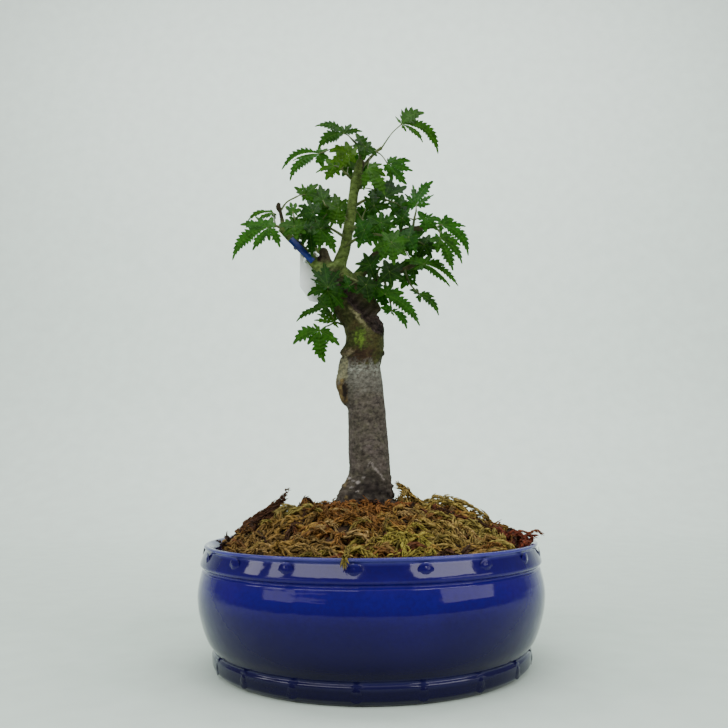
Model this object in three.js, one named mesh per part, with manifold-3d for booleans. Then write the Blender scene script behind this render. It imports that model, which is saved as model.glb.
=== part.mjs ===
// A small Japanese maple, grown as a bonsai, with its round glazed drum pot.
// Millimetres, +Z up. The origin is the middle of the pot's foot, and the tree's front faces -Y.
import * as THREE from "three";
import { mergeVertices } from "three/addons/utils/BufferGeometryUtils.js";
import Module from "manifold-3d";

const wasm = await Module();
wasm.setup();

// Driving dimensions
const gap = 0.3;              // clearance between pieces that touch
const wheelSegments = 32;      // round the pot, the soil and the moss's underside
const bellyRadius = 75;       // widest ring of the pot
const rimRadius = 73.2;       // rim band
const footRadius = 68.4;      // foot band
const potHeight = 51.2;       // lip
const potWall = 5;
const potFloor = 4;
const footRecess = 3;         // height of the hollow under the floor
const drainRadius = 7;
const studCount = 18;         // studs round the rim, and the same round the foot
const studTurn = -95;         // degrees from +X to the first stud
const soilEdge = 43;          // top of the soil at the wall
const soilCrown = 57;         // top of the soil at the trunk
const trunkFoot = 24;         // lowest end of the trunk, in the soil
const bladeThickness = 0.7;   // leaf blades
const petioleRadius = 0.5;
const archedPetiole = 6;      // longer petioles are arched
const tagThickness = 0.7;
const meshTolerance = 0.03;   // edges shorter than this are closed up

// Crown places are read on the upright plane through the trunk, as seen from this point in front of the
// tree, and then moved to their own depth along the line of sight.
const eye = new THREE.Vector3(-2.1, -338, 80.4);

function at(x, z, depth) {
  const onPlane = new THREE.Vector3(x, 0, z);
  return onPlane.sub(eye).multiplyScalar(1 - depth / eye.y).add(eye);
}

// Seeded random numbers from 0 to 1
function seeded(seed) {
  let state = seed;
  return () => {
    state = (state + 0x6d2b79f5) | 0;
    let mixed = Math.imul(state ^ (state >>> 15), 1 | state);
    mixed = (mixed + Math.imul(mixed ^ (mixed >>> 7), 61 | mixed)) ^ mixed;
    return ((mixed ^ (mixed >>> 14)) >>> 0) / 4294967296;
  };
}

// Solids: a closed geometry to join or cut, and back
function solid(geometry) {
  const bare = geometry.clone();
  bare.deleteAttribute("normal");
  bare.deleteAttribute("uv");
  const merged = mergeVertices(bare, 1e-4);
  return new wasm.Manifold(new wasm.Mesh({
    numProp: 3,
    vertProperties: new Float32Array(merged.attributes.position.array),
    triVerts: new Uint32Array(merged.index.array),
  }));
}

function geometryOf(body) {
  const mesh = largest(body.simplify(meshTolerance)).getMesh();
  const geometry = new THREE.BufferGeometry();
  geometry.setAttribute("position", new THREE.BufferAttribute(new Float32Array(mesh.vertProperties), 3));
  geometry.setIndex(new THREE.BufferAttribute(new Uint32Array(mesh.triVerts), 1));
  geometry.computeVertexNormals();
  return geometry;
}

function joined(bodies) {
  return bodies.reduce((whole, body) => whole.add(body));
}

// The part of a cut body that is worth keeping: its largest piece
function largest(body) {
  return body.decompose().sort((a, b) => b.volume() - a.volume())[0];
}

function meshFrom(points, triangles) {
  const geometry = new THREE.BufferGeometry();
  const places = points.flatMap((p) => [p.x, p.y, p.z]);
  geometry.setAttribute("position", new THREE.Float32BufferAttribute(places, 3));
  geometry.setIndex(triangles.flat());
  return geometry;
}

// A body turned round the upright axis, from a closed outline of [radius, height] points
function turned(outline, segments) {
  const profile = outline.map(([radius, height]) => new THREE.Vector2(radius, height));
  const lathe = new THREE.LatheGeometry([...profile, profile[0]], segments);
  return solid(lathe.rotateX(Math.PI / 2));
}

// A tapered round limb through stations [x, y, z, radius]. swell(turn, station) adds to the radius there,
// and grow makes the whole limb thicker and longer.
function limb(stations, sides, grow = 0, swell = () => 0) {
  const centres = stations.map(([x, y, z]) => new THREE.Vector3(x, y, z));
  const last = centres.length - 1;
  const along = centres.map((_, i) =>
    centres[Math.min(i + 1, last)].clone().sub(centres[Math.max(i - 1, 0)]).normalize());
  centres[0].addScaledVector(along[0], -grow);
  centres[last].addScaledVector(along[last], grow);
  let across = Math.abs(along[0].x) > 0.8 ? new THREE.Vector3(0, 1, 0) : new THREE.Vector3(1, 0, 0);
  const points = [];
  const triangles = [];
  centres.forEach((centre, i) => {
    across = across.clone().addScaledVector(along[i], -across.dot(along[i])).normalize();
    const side = new THREE.Vector3().crossVectors(along[i], across);
    for (let s = 0; s < sides; s++) {
      const turn = (s / sides) * 2 * Math.PI;
      const radius = stations[i][3] + grow + swell(turn, i);
      points.push(centre.clone()
        .addScaledVector(across, radius * Math.cos(turn))
        .addScaledVector(side, radius * Math.sin(turn)));
      const next = (s + 1) % sides;
      if (i < last) {
        const row = i * sides;
        const above = row + sides;
        triangles.push([row + s, row + next, above + next], [row + s, above + next, above + s]);
      }
    }
  });
  for (let s = 1; s < sides - 1; s++) {
    triangles.push([0, s + 1, s], [last * sides, last * sides + s, last * sides + s + 1]);
  }
  return solid(meshFrom(points, triangles));
}

// Pot: a drum with a studded rim band and foot band, a groove under the rim and a drain hole
const floorTop = footRecess + potFloor;
const bellyCurve = new THREE.SplineCurve([
  new THREE.Vector2(footRadius - 0.3, 8.6),
  new THREE.Vector2(72.4, 18),
  new THREE.Vector2(bellyRadius, 31),
  new THREE.Vector2(73.9, 38),
  new THREE.Vector2(rimRadius - 1.2, 41),
]).getPoints(4).map((p) => [p.x, p.y]);

const potOutline = [
  [drainRadius, footRecess],
  [57, footRecess],
  [58, 0],
  [65.2, 0],
  [footRadius, 2],
  [footRadius, 7.4],
  ...bellyCurve,
  [rimRadius, 42.4],
  [rimRadius, 49.6],
  [rimRadius - 1, potHeight],
  [rimRadius - 2.6, potHeight - 0.2],
  [rimRadius - potWall, 48.6],
  [bellyRadius - potWall - 1.4, 28],
  [62, floorTop + 2],
  [57, floorTop],
  [drainRadius, floorTop],
];

function studRing(height, radius, size) {
  const studs = [];
  for (let i = 0; i < studCount; i++) {
    const turn = THREE.MathUtils.degToRad(studTurn + (i * 360) / studCount);
    const out = [Math.cos(turn), Math.sin(turn)];
    studs.push(limb([
      [(radius - 1.3) * out[0], (radius - 1.3) * out[1], height, size],
      [(radius + 1.1) * out[0], (radius + 1.1) * out[1], height, size * 0.55],
    ], 5));
  }
  return studs;
}

const pot = joined([
  turned(potOutline, wheelSegments),
  ...studRing(45.8, rimRadius, 2.6),
  ...studRing(4.7, footRadius, 2.3),
]);

// Drain mesh: a square of plastic net on the floor, over the drain hole
const netSide = 24;
const netHole = 6;
const netPitch = 9;
const netThickness = 1;
const netHoles = [];
for (const x of [-netPitch / 2, netPitch / 2]) {
  for (const y of [-netPitch / 2, netPitch / 2]) {
    netHoles.push(solid(new THREE.BoxGeometry(netHole, netHole, 4 * netThickness).translate(x, y, 0)));
  }
}
const drainNet = solid(new THREE.BoxGeometry(netSide, netSide, netThickness))
  .subtract(joined(netHoles))
  .translate(0, 0, floorTop + gap + netThickness / 2);

// Trunk: root flare in the soil, straight bole, a healed scar that stands out on the left, and a chop wound
// on the upper right where the trunk turns to the left. The last number of a station is the scar's reach.
const bole = [
  [-0.5, 0, trunkFoot, 8.5, 0],
  [-1, 0, 44, 11, 0],
  [-1.3, 0, 60, 13.8, 0],
  [-1.4, 0, 66, 13.2, 0],
  [-1.3, 0, 70, 11.6, 0],
  [-0.9, 0, 75, 10.3, 0],
  [-0.5, 0, 82, 9.3, 0],
  [-0.4, 0, 92, 9.2, 0],
  [-1.2, 0, 105, 9.1, 0],
  [-1.3, 0, 110.5, 8.8, 1.2],
  [-1.2, 0, 113.5, 8.6, 4.7],
  [-1.2, 0, 121, 8.5, 5.1],
  [-1.2, 0, 128, 8.4, 5],
  [-1.2, 0, 130.5, 8.4, 3.2],
  [-1.2, 0, 134.6, 8.5, 0.3],
  [-1.1, 0, 136.8, 8.5, 2.9],
  [-1.1, 0, 139.5, 8.6, 1.9],
  [-1, 0, 144, 8.8, 1.1],
  [-1.2, 0, 148.5, 8.8, 0.4],
  [-2.3, 0, 152, 9.2, 0],
  [-5.5, 0.3, 157, 10, 0],
  [-9, 0.5, 161.5, 10, 0],
  [-12.6, 0.5, 166.5, 9.2, 0],
  [-16, 0.3, 172, 7.9, 0],
  [-18, 0, 177, 6, 0],
];
const boleSides = 12;
const flareTop = 80;

function boleSwell(turn, station) {
  const [, , height, radius, scar] = bole[station];
  const flare = Math.max(0, 1 - Math.abs(height - 60) / (flareTop - 60));
  const roots = 0.11 * flare * radius * Math.cos(5 * turn + 0.6);
  const ridges = 0.2 * Math.cos(3 * turn + height / 9);
  return roots + ridges + scar * Math.max(0, -Math.cos(turn)) ** 6;
}

// The wound is a slanted flat: its lower edge runs over the front of the trunk
const woundPoint = new THREE.Vector3(-1.5, -8.5, 154);
const woundFacing = new THREE.Vector3(0.68, -0.5, 0.55).normalize();
const woundSize = 34;
const wound = new THREE.BoxGeometry(60, woundSize, woundSize)
  .translate(0, 0, woundSize / 2)
  .applyQuaternion(new THREE.Quaternion().setFromUnitVectors(new THREE.Vector3(0, 0, 1), woundFacing))
  .translate(...woundPoint);

// Branches, each from inside the limb that it grows on: [x, y, z, radius]
const branches = {
  stub: [[-17.6, 0, 171, 3.6], [-18.8, 0, 178, 2.9], [-19.8, 0, 182, 2.6], [-20, 0, 186, 2.5]],
  leader: [
    [-14.5, 0, 173, 3.6], [-12.7, 0, 180, 3.2], [-10.6, 0, 186, 2.7], [-9.2, 0, 194, 2.6],
    [-7.4, 0, 204, 2.5],
    [-6.3, 0, 213, 2.3], [-5, 0, 218.5, 3], [-4.2, 0, 223, 2.4], [-2.6, 0, 229.5, 2],
  ],
  left: [
    [-19, 0, 172.5, 4], [-25, 0.6, 179.3, 2.7], [-30.5, 1.4, 185.5, 2.1], [-36.5, 1.6, 191.6, 1.9],
    [-41.4, 1, 196.4, 1.5],
  ],
  leftTwig: [
    [-40.2, 1.1, 195.4, 1.3], [-40.5, 1, 200.4, 1.05], [-41.4, 0.8, 204.4, 0.95], [-42.3, 0.6, 206.6, 1.45],
    [-42.3, 0.5, 209, 1.1],
  ],
  right: [
    [-9, 2, 167, 3.6], [-3, 4, 175, 2.7], [4, 5, 183.5, 2.4], [11, 4, 190.5, 2.2], [17.5, 2.5, 194.5, 1.8],
    [24, 1, 195.6, 1.4], [30, 0, 196, 1.1],
  ],
  lowerRight: [
    [-8, 4, 163, 3.4], [-1, 4, 168, 2.3], [6, 3, 171.3, 1.8], [12.5, 1.5, 173.6, 1.5], [18.5, 0.5, 176, 1.2],
    [23, 0, 178, 1],
  ],
  back: [[-9, 0.5, 191, 1.8], [-8.2, 7, 196, 1.4], [-6, 14, 201, 1.1], [-3, 20, 204.5, 0.9]],
  backRight: [[5, 5, 184.5, 1.9], [10, 11.5, 188, 1.4], [15, 18, 190.5, 1.1]],
  backLeft: [[-14.5, 4, 171, 2.6], [-17, 11, 180, 1.8], [-21, 17, 187, 1.4], [-26, 21, 192.5, 1.1]],
};

function wood(grow) {
  const flat = solid(wound).translate(...woundFacing.clone().multiplyScalar(grow));
  const trunk = limb(bole, boleSides, grow, boleSwell).subtract(flat);
  const sides = (stations) => (stations[0][3] > 3 ? 8 : 6);
  return joined([trunk, ...Object.values(branches).map((stations) => limb(stations, sides(stations), grow))]);
}

const tree = wood(0);
const treeClearance = wood(gap);

// Soil: granules that fill the pot to just under the lip, heaped round the trunk, with a plain hole for it
const boleClearance = limb(bole, boleSides, gap, boleSwell);
const netPocket = new THREE.BoxGeometry(netSide + 2 * gap, netSide + 2 * gap, 2 * netThickness + 2 * gap)
  .translate(0, 0, floorTop + gap);
const soil = turned([
  [0, floorTop + gap],
  [57 - gap, floorTop + gap],
  [62 - 1.3 * gap, floorTop + 2 + 0.5 * gap],
  [bellyRadius - potWall - 1.4 - gap, 28],
  [rimRadius - potWall - gap, soilEdge],
  [30, soilCrown - 3],
  [0, soilCrown],
], wheelSegments).subtract(boleClearance).subtract(solid(netPocket));

// Moss: a heap of dried sphagnum on the soil and over the inner edge of the lip. Its top is a net of rings
// raised by seeded tufts, and curled strands stand out of it.
const mossRadius = 71.4;
const mossCrown = [
  [0, 70.5], [24, 69.5], [34, 67.5], [45, 64.4], [55, 60.6], [62, 57.2], [68, 53.8], [75, 50.4],
];
const mossRings = 10;
const mossSpokes = 32;
const tuftCount = 150;
const mossRoughness = 1.7;

function mossBase(radius) {
  const outer = mossCrown.findIndex(([r]) => r > radius);
  const [r0, z0] = mossCrown[outer - 1];
  const [r1, z1] = mossCrown[outer];
  return z0 + ((z1 - z0) * (radius - r0)) / (r1 - r0);
}

const mossRandom = seeded(41);
const tufts = [[13.5, 1, 6.5, 6.5], [19, 3, 6, 4.5], [-5, -19, 10, 3.5], [-57, 0, 8, 2]];
for (let i = 0; i < tuftCount; i++) {
  const radius = mossRadius * Math.sqrt(mossRandom());
  const turn = 2 * Math.PI * mossRandom();
  const reach = 4 + 5 * mossRandom();
  const height = (radius > 60 ? 1.4 : 3.4) * (2 * mossRandom() - 0.9);
  tufts.push([radius * Math.cos(turn), radius * Math.sin(turn), reach, height]);
}

function mossTop(x, y) {
  let height = mossBase(Math.hypot(x, y));
  for (const [tx, ty, reach, rise] of tufts) {
    const near = 1 - Math.hypot(x - tx, y - ty) / reach;
    if (near > 0) height += rise * near * near * (3 - 2 * near);
  }
  return height;
}

function mossHeap() {
  const points = [new THREE.Vector3(0, 0, mossTop(0, 0))];
  const triangles = [];
  for (let ring = 1; ring <= mossRings; ring++) {
    for (let spoke = 0; spoke < mossSpokes; spoke++) {
      const turn = ((spoke + (ring % 2) / 2) / mossSpokes) * 2 * Math.PI;
      const radius = mossRadius * (ring / mossRings) ** 0.85;
      const x = radius * Math.cos(turn);
      const y = radius * Math.sin(turn);
      const edge = ring === mossRings;
      const rough = mossRoughness * (2 * mossRandom() - 1);
      const z = edge ? potHeight + 2 * gap + 0.4 * mossRandom() : mossTop(x, y) + rough;
      points.push(new THREE.Vector3(x, y, z));
    }
  }
  const index = (ring, spoke) => 1 + (ring - 1) * mossSpokes + ((spoke + mossSpokes) % mossSpokes);
  for (let spoke = 0; spoke < mossSpokes; spoke++) {
    triangles.push([0, index(1, spoke), index(1, spoke + 1)]);
    for (let ring = 1; ring < mossRings; ring++) {
      const shift = ring % 2;
      const outer = spoke + shift;
      triangles.push([index(ring, spoke), index(ring + 1, outer), index(ring, spoke + 1)]);
      triangles.push([index(ring, spoke), index(ring + 1, outer - 1), index(ring + 1, outer)]);
    }
  }
  const rim = points.length;
  for (let spoke = 0; spoke < mossSpokes; spoke++) {
    const edge = points[index(mossRings, spoke)];
    points.push(new THREE.Vector3(edge.x, edge.y, soilEdge - 4));
  }
  points.push(new THREE.Vector3(0, 0, soilEdge - 4));
  for (let spoke = 0; spoke < mossSpokes; spoke++) {
    const next = (spoke + 1) % mossSpokes;
    triangles.push([index(mossRings, spoke), rim + spoke, index(mossRings, spoke + 1)]);
    triangles.push([rim + spoke, rim + next, index(mossRings, spoke + 1)]);
    triangles.push([rim + mossSpokes, rim + next, rim + spoke]);
  }
  return solid(meshFrom(points, triangles));
}

// A curled strand from inside the heap: foot, lean direction in degrees, length, rise, radius
function strand(x, y, lean, length, rise, radius) {
  const turn = THREE.MathUtils.degToRad(lean);
  const foot = mossTop(x, y) - 1.5;
  const dx = length * Math.cos(turn);
  const dy = length * Math.sin(turn);
  return limb([
    [x, y, foot, radius],
    [x + 0.55 * dx, y + 0.55 * dy, foot + 1.5 + rise, radius * 0.85],
    [x + dx, y + dy, foot + 1.5 + 0.7 * rise, radius * 0.25],
  ], 3);
}

const strands = [
  strand(-36.6, 0, 170, 2.5, 6, 1),
  strand(-21.5, 1, 80, 1.2, 3, 0.9),
  strand(63, -6, 0, 8.5, 2.4, 1.2),
  strand(-60, -14, 195, 8, 2.5, 1.2),
  strand(-12, -66, -85, 6.2, 1.4, 1.1),
];
const strandRandom = seeded(7);
const strandCount = 15;
for (let i = 0; i < strandCount; i++) {
  const radius = 17 + 46 * Math.sqrt(strandRandom());
  const turn = 2 * Math.PI * strandRandom();
  const length = 5 + 3 * strandRandom();
  const rise = 1.5 + 1.8 * strandRandom();
  const heading = 360 * strandRandom();
  strands.push(strand(radius * Math.cos(turn), radius * Math.sin(turn), heading, length, rise, 1));
}

// What the moss lies on, with clearance: the soil, the inside of the wall and the lip
const mossBed = turned([
  [0, soilEdge - 10],
  [bellyRadius + 6, soilEdge - 10],
  [bellyRadius + 6, potHeight + gap],
  [rimRadius - 2.6 - gap, potHeight + gap],
  [rimRadius - potWall - gap, 48.8],
  [rimRadius - potWall - gap, soilEdge + gap],
  [30, soilCrown - 3 + gap],
  [0, soilCrown + gap],
], wheelSegments);
const moss = joined([mossHeap(), ...strands]).subtract(mossBed).subtract(boleClearance);

// Leaf: a thin palmate blade round its joint with the petiole. Each lobe is [dx, dz, bow, width]: its tip as
// seen from the front, how far its midrib bows up, and its width. The blade leans by tilt, the change of
// depth per millimetre to the right and per millimetre up. A blade with back set faces away from the front.
const webShare = 0.34;        // how far out two lobes stay joined, as a share of the shorter one
const lobeCurl = 0.22;        // how far the tips curl back
const marginRise = 0.16;      // how far the margins stand out of the midrib, against their width
const openFan = 2.4;          // a wider opening between two lobes, in radians, has its web close to the joint
const lobeFullness = 1.35;    // widths of the lobes against the table
const archShare = 1.5;        // how far the control point of a midrib stands up, against its bow
// Margins of a lobe, as [share of its length, share of its half width]: two teeth, one tooth, none
const longLobe = { over: 14, margin: [[0.47, 1], [0.54, 0.68], [0.72, 0.74], [0.78, 0.42]] };
const middleLobe = { over: 7.2, margin: [[0.56, 1], [0.66, 0.58]] };
const shortLobe = { over: 0, margin: [[0.5, 1]] };
const toothedWidth = 2.3;     // narrower lobes have plain margins

function midrib([dx, dz, bow], t) {
  const length = Math.hypot(dx, dz);
  const up = dx < 0 ? [dz / length, -dx / length] : [-dz / length, dx / length];
  const control = [dx / 2 + archShare * bow * up[0], dz / 2 + archShare * bow * up[1]];
  const place = [0, 1].map((k) => 2 * t * (1 - t) * control[k] + t * t * [dx, dz][k]);
  const heading = [0, 1].map((k) => 2 * (1 - 2 * t) * control[k] + 2 * t * [dx, dz][k]);
  return { place, heading: Math.atan2(heading[1], heading[0]), length };
}

function leaf(joint, tilt, lobes, back = false) {
  const [x, z, depth] = joint;
  const outward = back ? -1 : 1;
  const front = [];
  const triangles = [];
  const boundary = [];
  // A point of the blade: place seen from the front, share of the lobe's length, distance from its midrib
  const point = ([dx, dz], t, length, offMidrib) => {
    const curl = lobeCurl * length * t * t - marginRise * offMidrib;
    front.push(at(x + dx, z + dz, depth + tilt[0] * dx + tilt[1] * dz + outward * curl));
    return front.length - 1;
  };
  const angle = (lobe) => {
    const { place } = midrib(lobe, 0.4);
    return Math.atan2(place[1], place[0]);
  };
  const order = lobes.map((lobe) => ({ lobe, angle: angle(lobe) })).sort((a, b) => a.angle - b.angle);
  const count = order.length;
  const middle = point([0, 0], 0, 0, 0);
  const openings = order.map(({ angle: from }, i) => {
    const to = order[(i + 1) % count].angle;
    return (to - from + 2 * Math.PI) % (2 * Math.PI);
  });
  const webs = order.map(({ lobe, angle: from }, i) => {
    const next = order[(i + 1) % count].lobe;
    const middleway = from + openings[i] / 2;
    const shorter = Math.min(Math.hypot(lobe[0], lobe[1]), Math.hypot(next[0], next[1]));
    const reach = openings[i] > openFan ? 0.9 : webShare * shorter * (1 - openings[i] / 4);
    return point([reach * Math.cos(middleway), reach * Math.sin(middleway)], 0.2, shorter, 0);
  });
  order.forEach(({ lobe }, i) => {
    const { length } = midrib(lobe, 0);
    const halfWidth = lobeFullness * lobe[3] / 2;
    const kinds = [longLobe, middleLobe, shortLobe];
    const kind = kinds.find(({ over }) => length >= over && lobe[3] >= toothedWidth);
    // A margin stays on its own side of the line halfway to the next lobe
    const margin = (side, opening) => (kind ?? shortLobe).margin.map(([t, share]) => {
      const { place, heading } = midrib(lobe, t);
      const room = 0.85 * Math.hypot(...place) * Math.tan(Math.min(opening / 2, 1.2));
      const off = side * Math.min(share * halfWidth, room);
      const spot = [place[0] - off * Math.sin(heading), place[1] + off * Math.cos(heading)];
      return point(spot, t, length, Math.abs(off));
    });
    const right = margin(-1, openings[(i + count - 1) % count]);
    const left = margin(1, openings[i]);
    const tip = point(midrib(lobe, 1).place, 1, length, 0);
    const rightWeb = webs[(i + count - 1) % count];
    const leftWeb = webs[i];
    triangles.push([middle, rightWeb, right[0]], [middle, right[0], left[0]], [middle, left[0], leftWeb]);
    for (let k = 1; k < right.length; k++) {
      triangles.push([right[k - 1], right[k], left[k]], [right[k - 1], left[k], left[k - 1]]);
    }
    triangles.push([right.at(-1), tip, left.at(-1)]);
    boundary.push(rightWeb, ...right, tip, ...left.reverse());
  });
  return thickened(front, triangles, boundary);
}

// Both faces of a blade, triangulated alike, half a thickness to each side of the same surface
function thickened(surface, triangles, boundary, thickness = bladeThickness) {
  const normals = surface.map(() => new THREE.Vector3());
  for (const [a, b, c] of triangles) {
    const face = new THREE.Vector3().crossVectors(
      surface[b].clone().sub(surface[a]), surface[c].clone().sub(surface[a]));
    for (const corner of [a, b, c]) normals[corner].add(face);
  }
  normals.forEach((normal) => normal.setLength(thickness / 2));
  const count = surface.length;
  const points = [
    ...surface.map((p, i) => p.clone().add(normals[i])),
    ...surface.map((p, i) => p.clone().sub(normals[i])),
  ];
  const faces = [...triangles, ...triangles.map(([a, b, c]) => [a + count, c + count, b + count])];
  boundary.forEach((a, i) => {
    const b = boundary[(i + 1) % boundary.length];
    faces.push([a, a + count, b + count], [a, b + count, b]);
  });
  return solid(meshFrom(points, faces));
}

// Spray: a green shoot with its leaves. shoot holds stations [x, z, depth, radius] seen from the front, and
// each leaf's petiole leaves the nearest station, or the one that the leaf names.
function spray({ shoot, leaves }) {
  const stations = shoot.map(([x, z, depth, radius]) => [...at(x, z, depth), radius]);
  const bodies = [limb(stations, 4)];
  for (const { joint, tilt, lobes, back, from } of leaves) {
    const end = at(...joint);
    const nearest = shoot
      .map(([x, z, depth]) => at(x, z, depth))
      .sort((a, b) => a.distanceTo(end) - b.distanceTo(end))[0];
    const start = from === undefined ? nearest : at(...shoot[from].slice(0, 3));
    const length = start.distanceTo(end);
    const middle = start.clone().lerp(end, 0.5);
    middle.z += 0.05 * length;
    bodies.push(leaf(joint, tilt, lobes, back));
    if (length > 1) {
      const stations = length > archedPetiole ? [start, middle, end] : [start, end];
      bodies.push(limb(stations.map((p) => [...p, petioleRadius]), 3));
    }
  }
  return joined(bodies).subtract(treeClearance);
}

const sprays = {
  // Crown, top left: three leaves and a bare twig end
  spray_top: {
    shade: "mid",
    shoot: [[-2.6, 228, 0, 1.5], [-3, 233, -0.5, 1.4], [-4, 237, -1.5, 1], [-6.8, 240.3, -3, 0.7]],
    leaves: [
      {
        joint: [-10.8, 243.5, -9], tilt: [-0.6, 0.3],
        lobes: [
          [-14.2, 3.7, 3.3, 3], [-12.5, -8, 3.3, 4.5], [3.8, 4.7, 0, 3.5], [9, 0.8, 1.2, 2.4], [-1, 4, 0, 2],
        ],
      },
      {
        joint: [-0.5, 236.5, -4], tilt: [0.5, 0.5],
        lobes: [[-4.5, 7, 0, 4.5], [3, 2.4, 0, 3], [5.5, -5, 0.8, 3], [-1, -7, 0, 4], [-6, 0.5, 0.4, 4]],
      },
      {
        joint: [-22.8, 233.2, 9], tilt: [-0.2, 0.5], from: 2,
        lobes: [
          [-18, -8, 5.2, 3.4], [-12.8, -3.6, 1.5, 1.5], [-14, -13.7, 4.6, 4], [1.8, -7, 0, 4],
          [4.6, -2.6, 0, 3.6], [4.2, 2.4, 0, 2.4], [0.2, 4.2, 0, 2],
        ],
      },
    ],
  },
  // Pair under it, on a petiole from the leader's swelling
  spray_upper_left: {
    shade: "yellow",
    shoot: [[-6.5, 219.6, 0, 1.1], [-9.4, 222.4, -3, 0.8], [-12, 225.2, -6, 0.6]],
    leaves: [
      {
        joint: [-15.5, 227, -2], tilt: [-0.7, 0.4],
        lobes: [[-9, -3.5, 0.8, 1.8], [-4.3, -7.1, 0, 4.5], [2.5, -5, 0, 3], [4, 2.5, 0, 3], [-4, 3.5, 0, 4]],
      },
      {
        joint: [-8.3, 232.5, -10.5], tilt: [-0.3, 0.5],
        lobes: [
          [-9.7, 1.5, 2.6, 4.6], [-9.2, -3.8, 0.8, 4], [-5, -7, 0, 4], [3, -4, 0, 3], [4, 4, 0, 3.6],
          [-1.5, 7, 0, 4],
        ],
      },
      {
        joint: [-8.8, 226.2, 4.5], tilt: [0.2, 0.3], from: 1,
        lobes: [[-3, -4.6, 0, 3], [1.6, -4.8, 0, 3], [-4.2, 2, 0, 3], [4.4, 3, 0, 3]],
      },
    ],
  },
  // Crown, right: the green end of the leader, with one leaf held high on a long petiole
  spray_crown_right: {
    shade: "bright",
    shoot: [[-2.8, 225.4, 1, 1.2], [1.8, 230.8, 1.4, 1.1], [4.8, 234, 1.2, 1], [7.4, 235.9, 1, 1.2]],
    leaves: [
      {
        joint: [17.3, 248, 5], tilt: [0.3, 0.5],
        lobes: [
          [11.2, 5.5, 2.5, 6], [17.2, -15.6, 7.3, 4.2], [10, -9.7, 2.4, 2.4], [2, -4, 0.3, 1.4],
          [-3.1, 4, 0, 0.9],
        ],
      },
      {
        joint: [10.3, 227.5, -8], tilt: [0.6, 0.4], from: 2,
        lobes: [
          [4.5, 4, 0, 3], [11, 1.3, 1.8, 4.2], [12, -3.6, 0.6, 3.4], [8.9, -10.4, 0, 4.6], [2, -8, 0, 4.2],
          [-1.7, -3.5, 0, 2.4],
        ],
      },
      {
        joint: [0.6, 225.5, -10], tilt: [0.2, 0.7], from: 1,
        lobes: [[8, -13.5, 1.2, 5.2], [8.4, -4.2, 1.2, 4.2], [-2.2, -11, 0, 3], [7, 2, 0.8, 2.4]],
      },
    ],
  },
  // Inside right, between the leader and the right branch
  spray_inside_right: {
    shade: "deep",
    shoot: [[-5.4, 207, 1, 1.2], [0, 210, 2, 0.9], [6, 210.4, 1, 0.8], [12.5, 208.5, 2, 0.6]],
    leaves: [
      {
        joint: [8.8, 211.3, -7], tilt: [0.5, 0.5],
        lobes: [[10.5, 5, 0, 6], [-3.5, 8, 0, 4.2], [3.5, 10, 0, 4.6], [8, -2.3, 1.3, 3], [-4, -3, 0.4, 2]],
      },
      {
        joint: [3.3, 206.5, -4], tilt: [-0.2, 0.6],
        lobes: [
          [-0.6, 8.6, 0, 3.4], [3.4, -4, 0, 1.6], [-4.6, 5.2, 0, 3], [9.5, -1.2, 1, 3], [-3, -3.6, 0, 1.6],
        ],
      },
      {
        joint: [16, 206, 10], tilt: [0.2, 0.6],
        lobes: [[-5.5, -4.6, 0, 4], [-6, 2.4, 0, 3.4], [3, -6, 0, 4], [6, 2, 0, 3.6], [1, 6.4, 0, 4]],
      },
    ],
  },
  // Left of the leader
  spray_inside_left: {
    shade: "mid",
    shoot: [
      [-8.6, 199, -1, 1.2], [-12.5, 202.5, -3.4, 0.9], [-16.5, 205.6, -5, 0.8], [-20, 207.4, -5.6, 0.6],
    ],
    leaves: [
      {
        joint: [-13.5, 205.8, -9], tilt: [0.2, 0.5],
        lobes: [
          [4, 4.5, 0, 3.8], [-2, 7.5, 0, 4], [-6.4, 2.8, 0, 3.8], [-4, -9.6, 0, 3.8], [1, -10.4, 0, 3.8],
        ],
      },
      {
        joint: [-21, 209.5, -2], tilt: [-0.1, 0.7],
        lobes: [
          [-1.5, 8.2, 0, 4.2], [3, 6.2, 0, 4], [6, 1.4, 0, 3.4], [-6.5, 3.6, 0.6, 4], [2.6, -6, 0, 3.6],
          [-4.6, -5, 0, 4],
        ],
      },
    ],
  },
  // Over the stub: leaves that hang between the leader and the left branch
  spray_over_stub: {
    shade: "deep",
    shoot: [
      [-10.4, 191, -1, 1.2], [-14.5, 194, -3.5, 0.9], [-19.5, 196.8, -5, 0.8], [-24.5, 198.5, -5.4, 0.6],
    ],
    leaves: [
      {
        joint: [-22.3, 195.5, -8], tilt: [0.3, 0.5],
        lobes: [
          [7.1, -12.2, 1.2, 4.4], [6.3, -2.6, 0.8, 2], [-0.4, -10.5, 0, 4], [5, 5, 0, 3.8], [-3, 6, 0, 4],
          [-6, -1, 0, 3],
        ],
      },
      {
        joint: [-27.2, 195, -5], tilt: [-0.2, 0.3],
        lobes: [
          [1.2, -13.4, 0, 4.4], [-3.6, -6.8, 0, 3.6], [-6.6, -1, 0, 3.8], [-5.6, 5, 0, 3.6],
          [1, 7, 0, 3.8],
        ],
      },
      {
        joint: [-25.5, 203.8, -15], tilt: [-0.2, 0.5],
        lobes: [
          [-7.4, 3.4, 1, 4], [-8, -2.4, 0.8, 4], [-3, -6, 0, 3.6], [2.6, 5, 0, 3.4], [-2.6, 6.2, 0, 3.6],
        ],
      },
    ],
  },
  // End of the left branch
  spray_left_end: {
    shade: "mid",
    shoot: [[-40.6, 196, 1, 1.1], [-43.6, 197.4, 0, 0.8], [-46, 197.6, -1.4, 0.6]],
    leaves: [
      {
        joint: [-47, 196.5, -8], tilt: [-0.7, 0.5],
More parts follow.
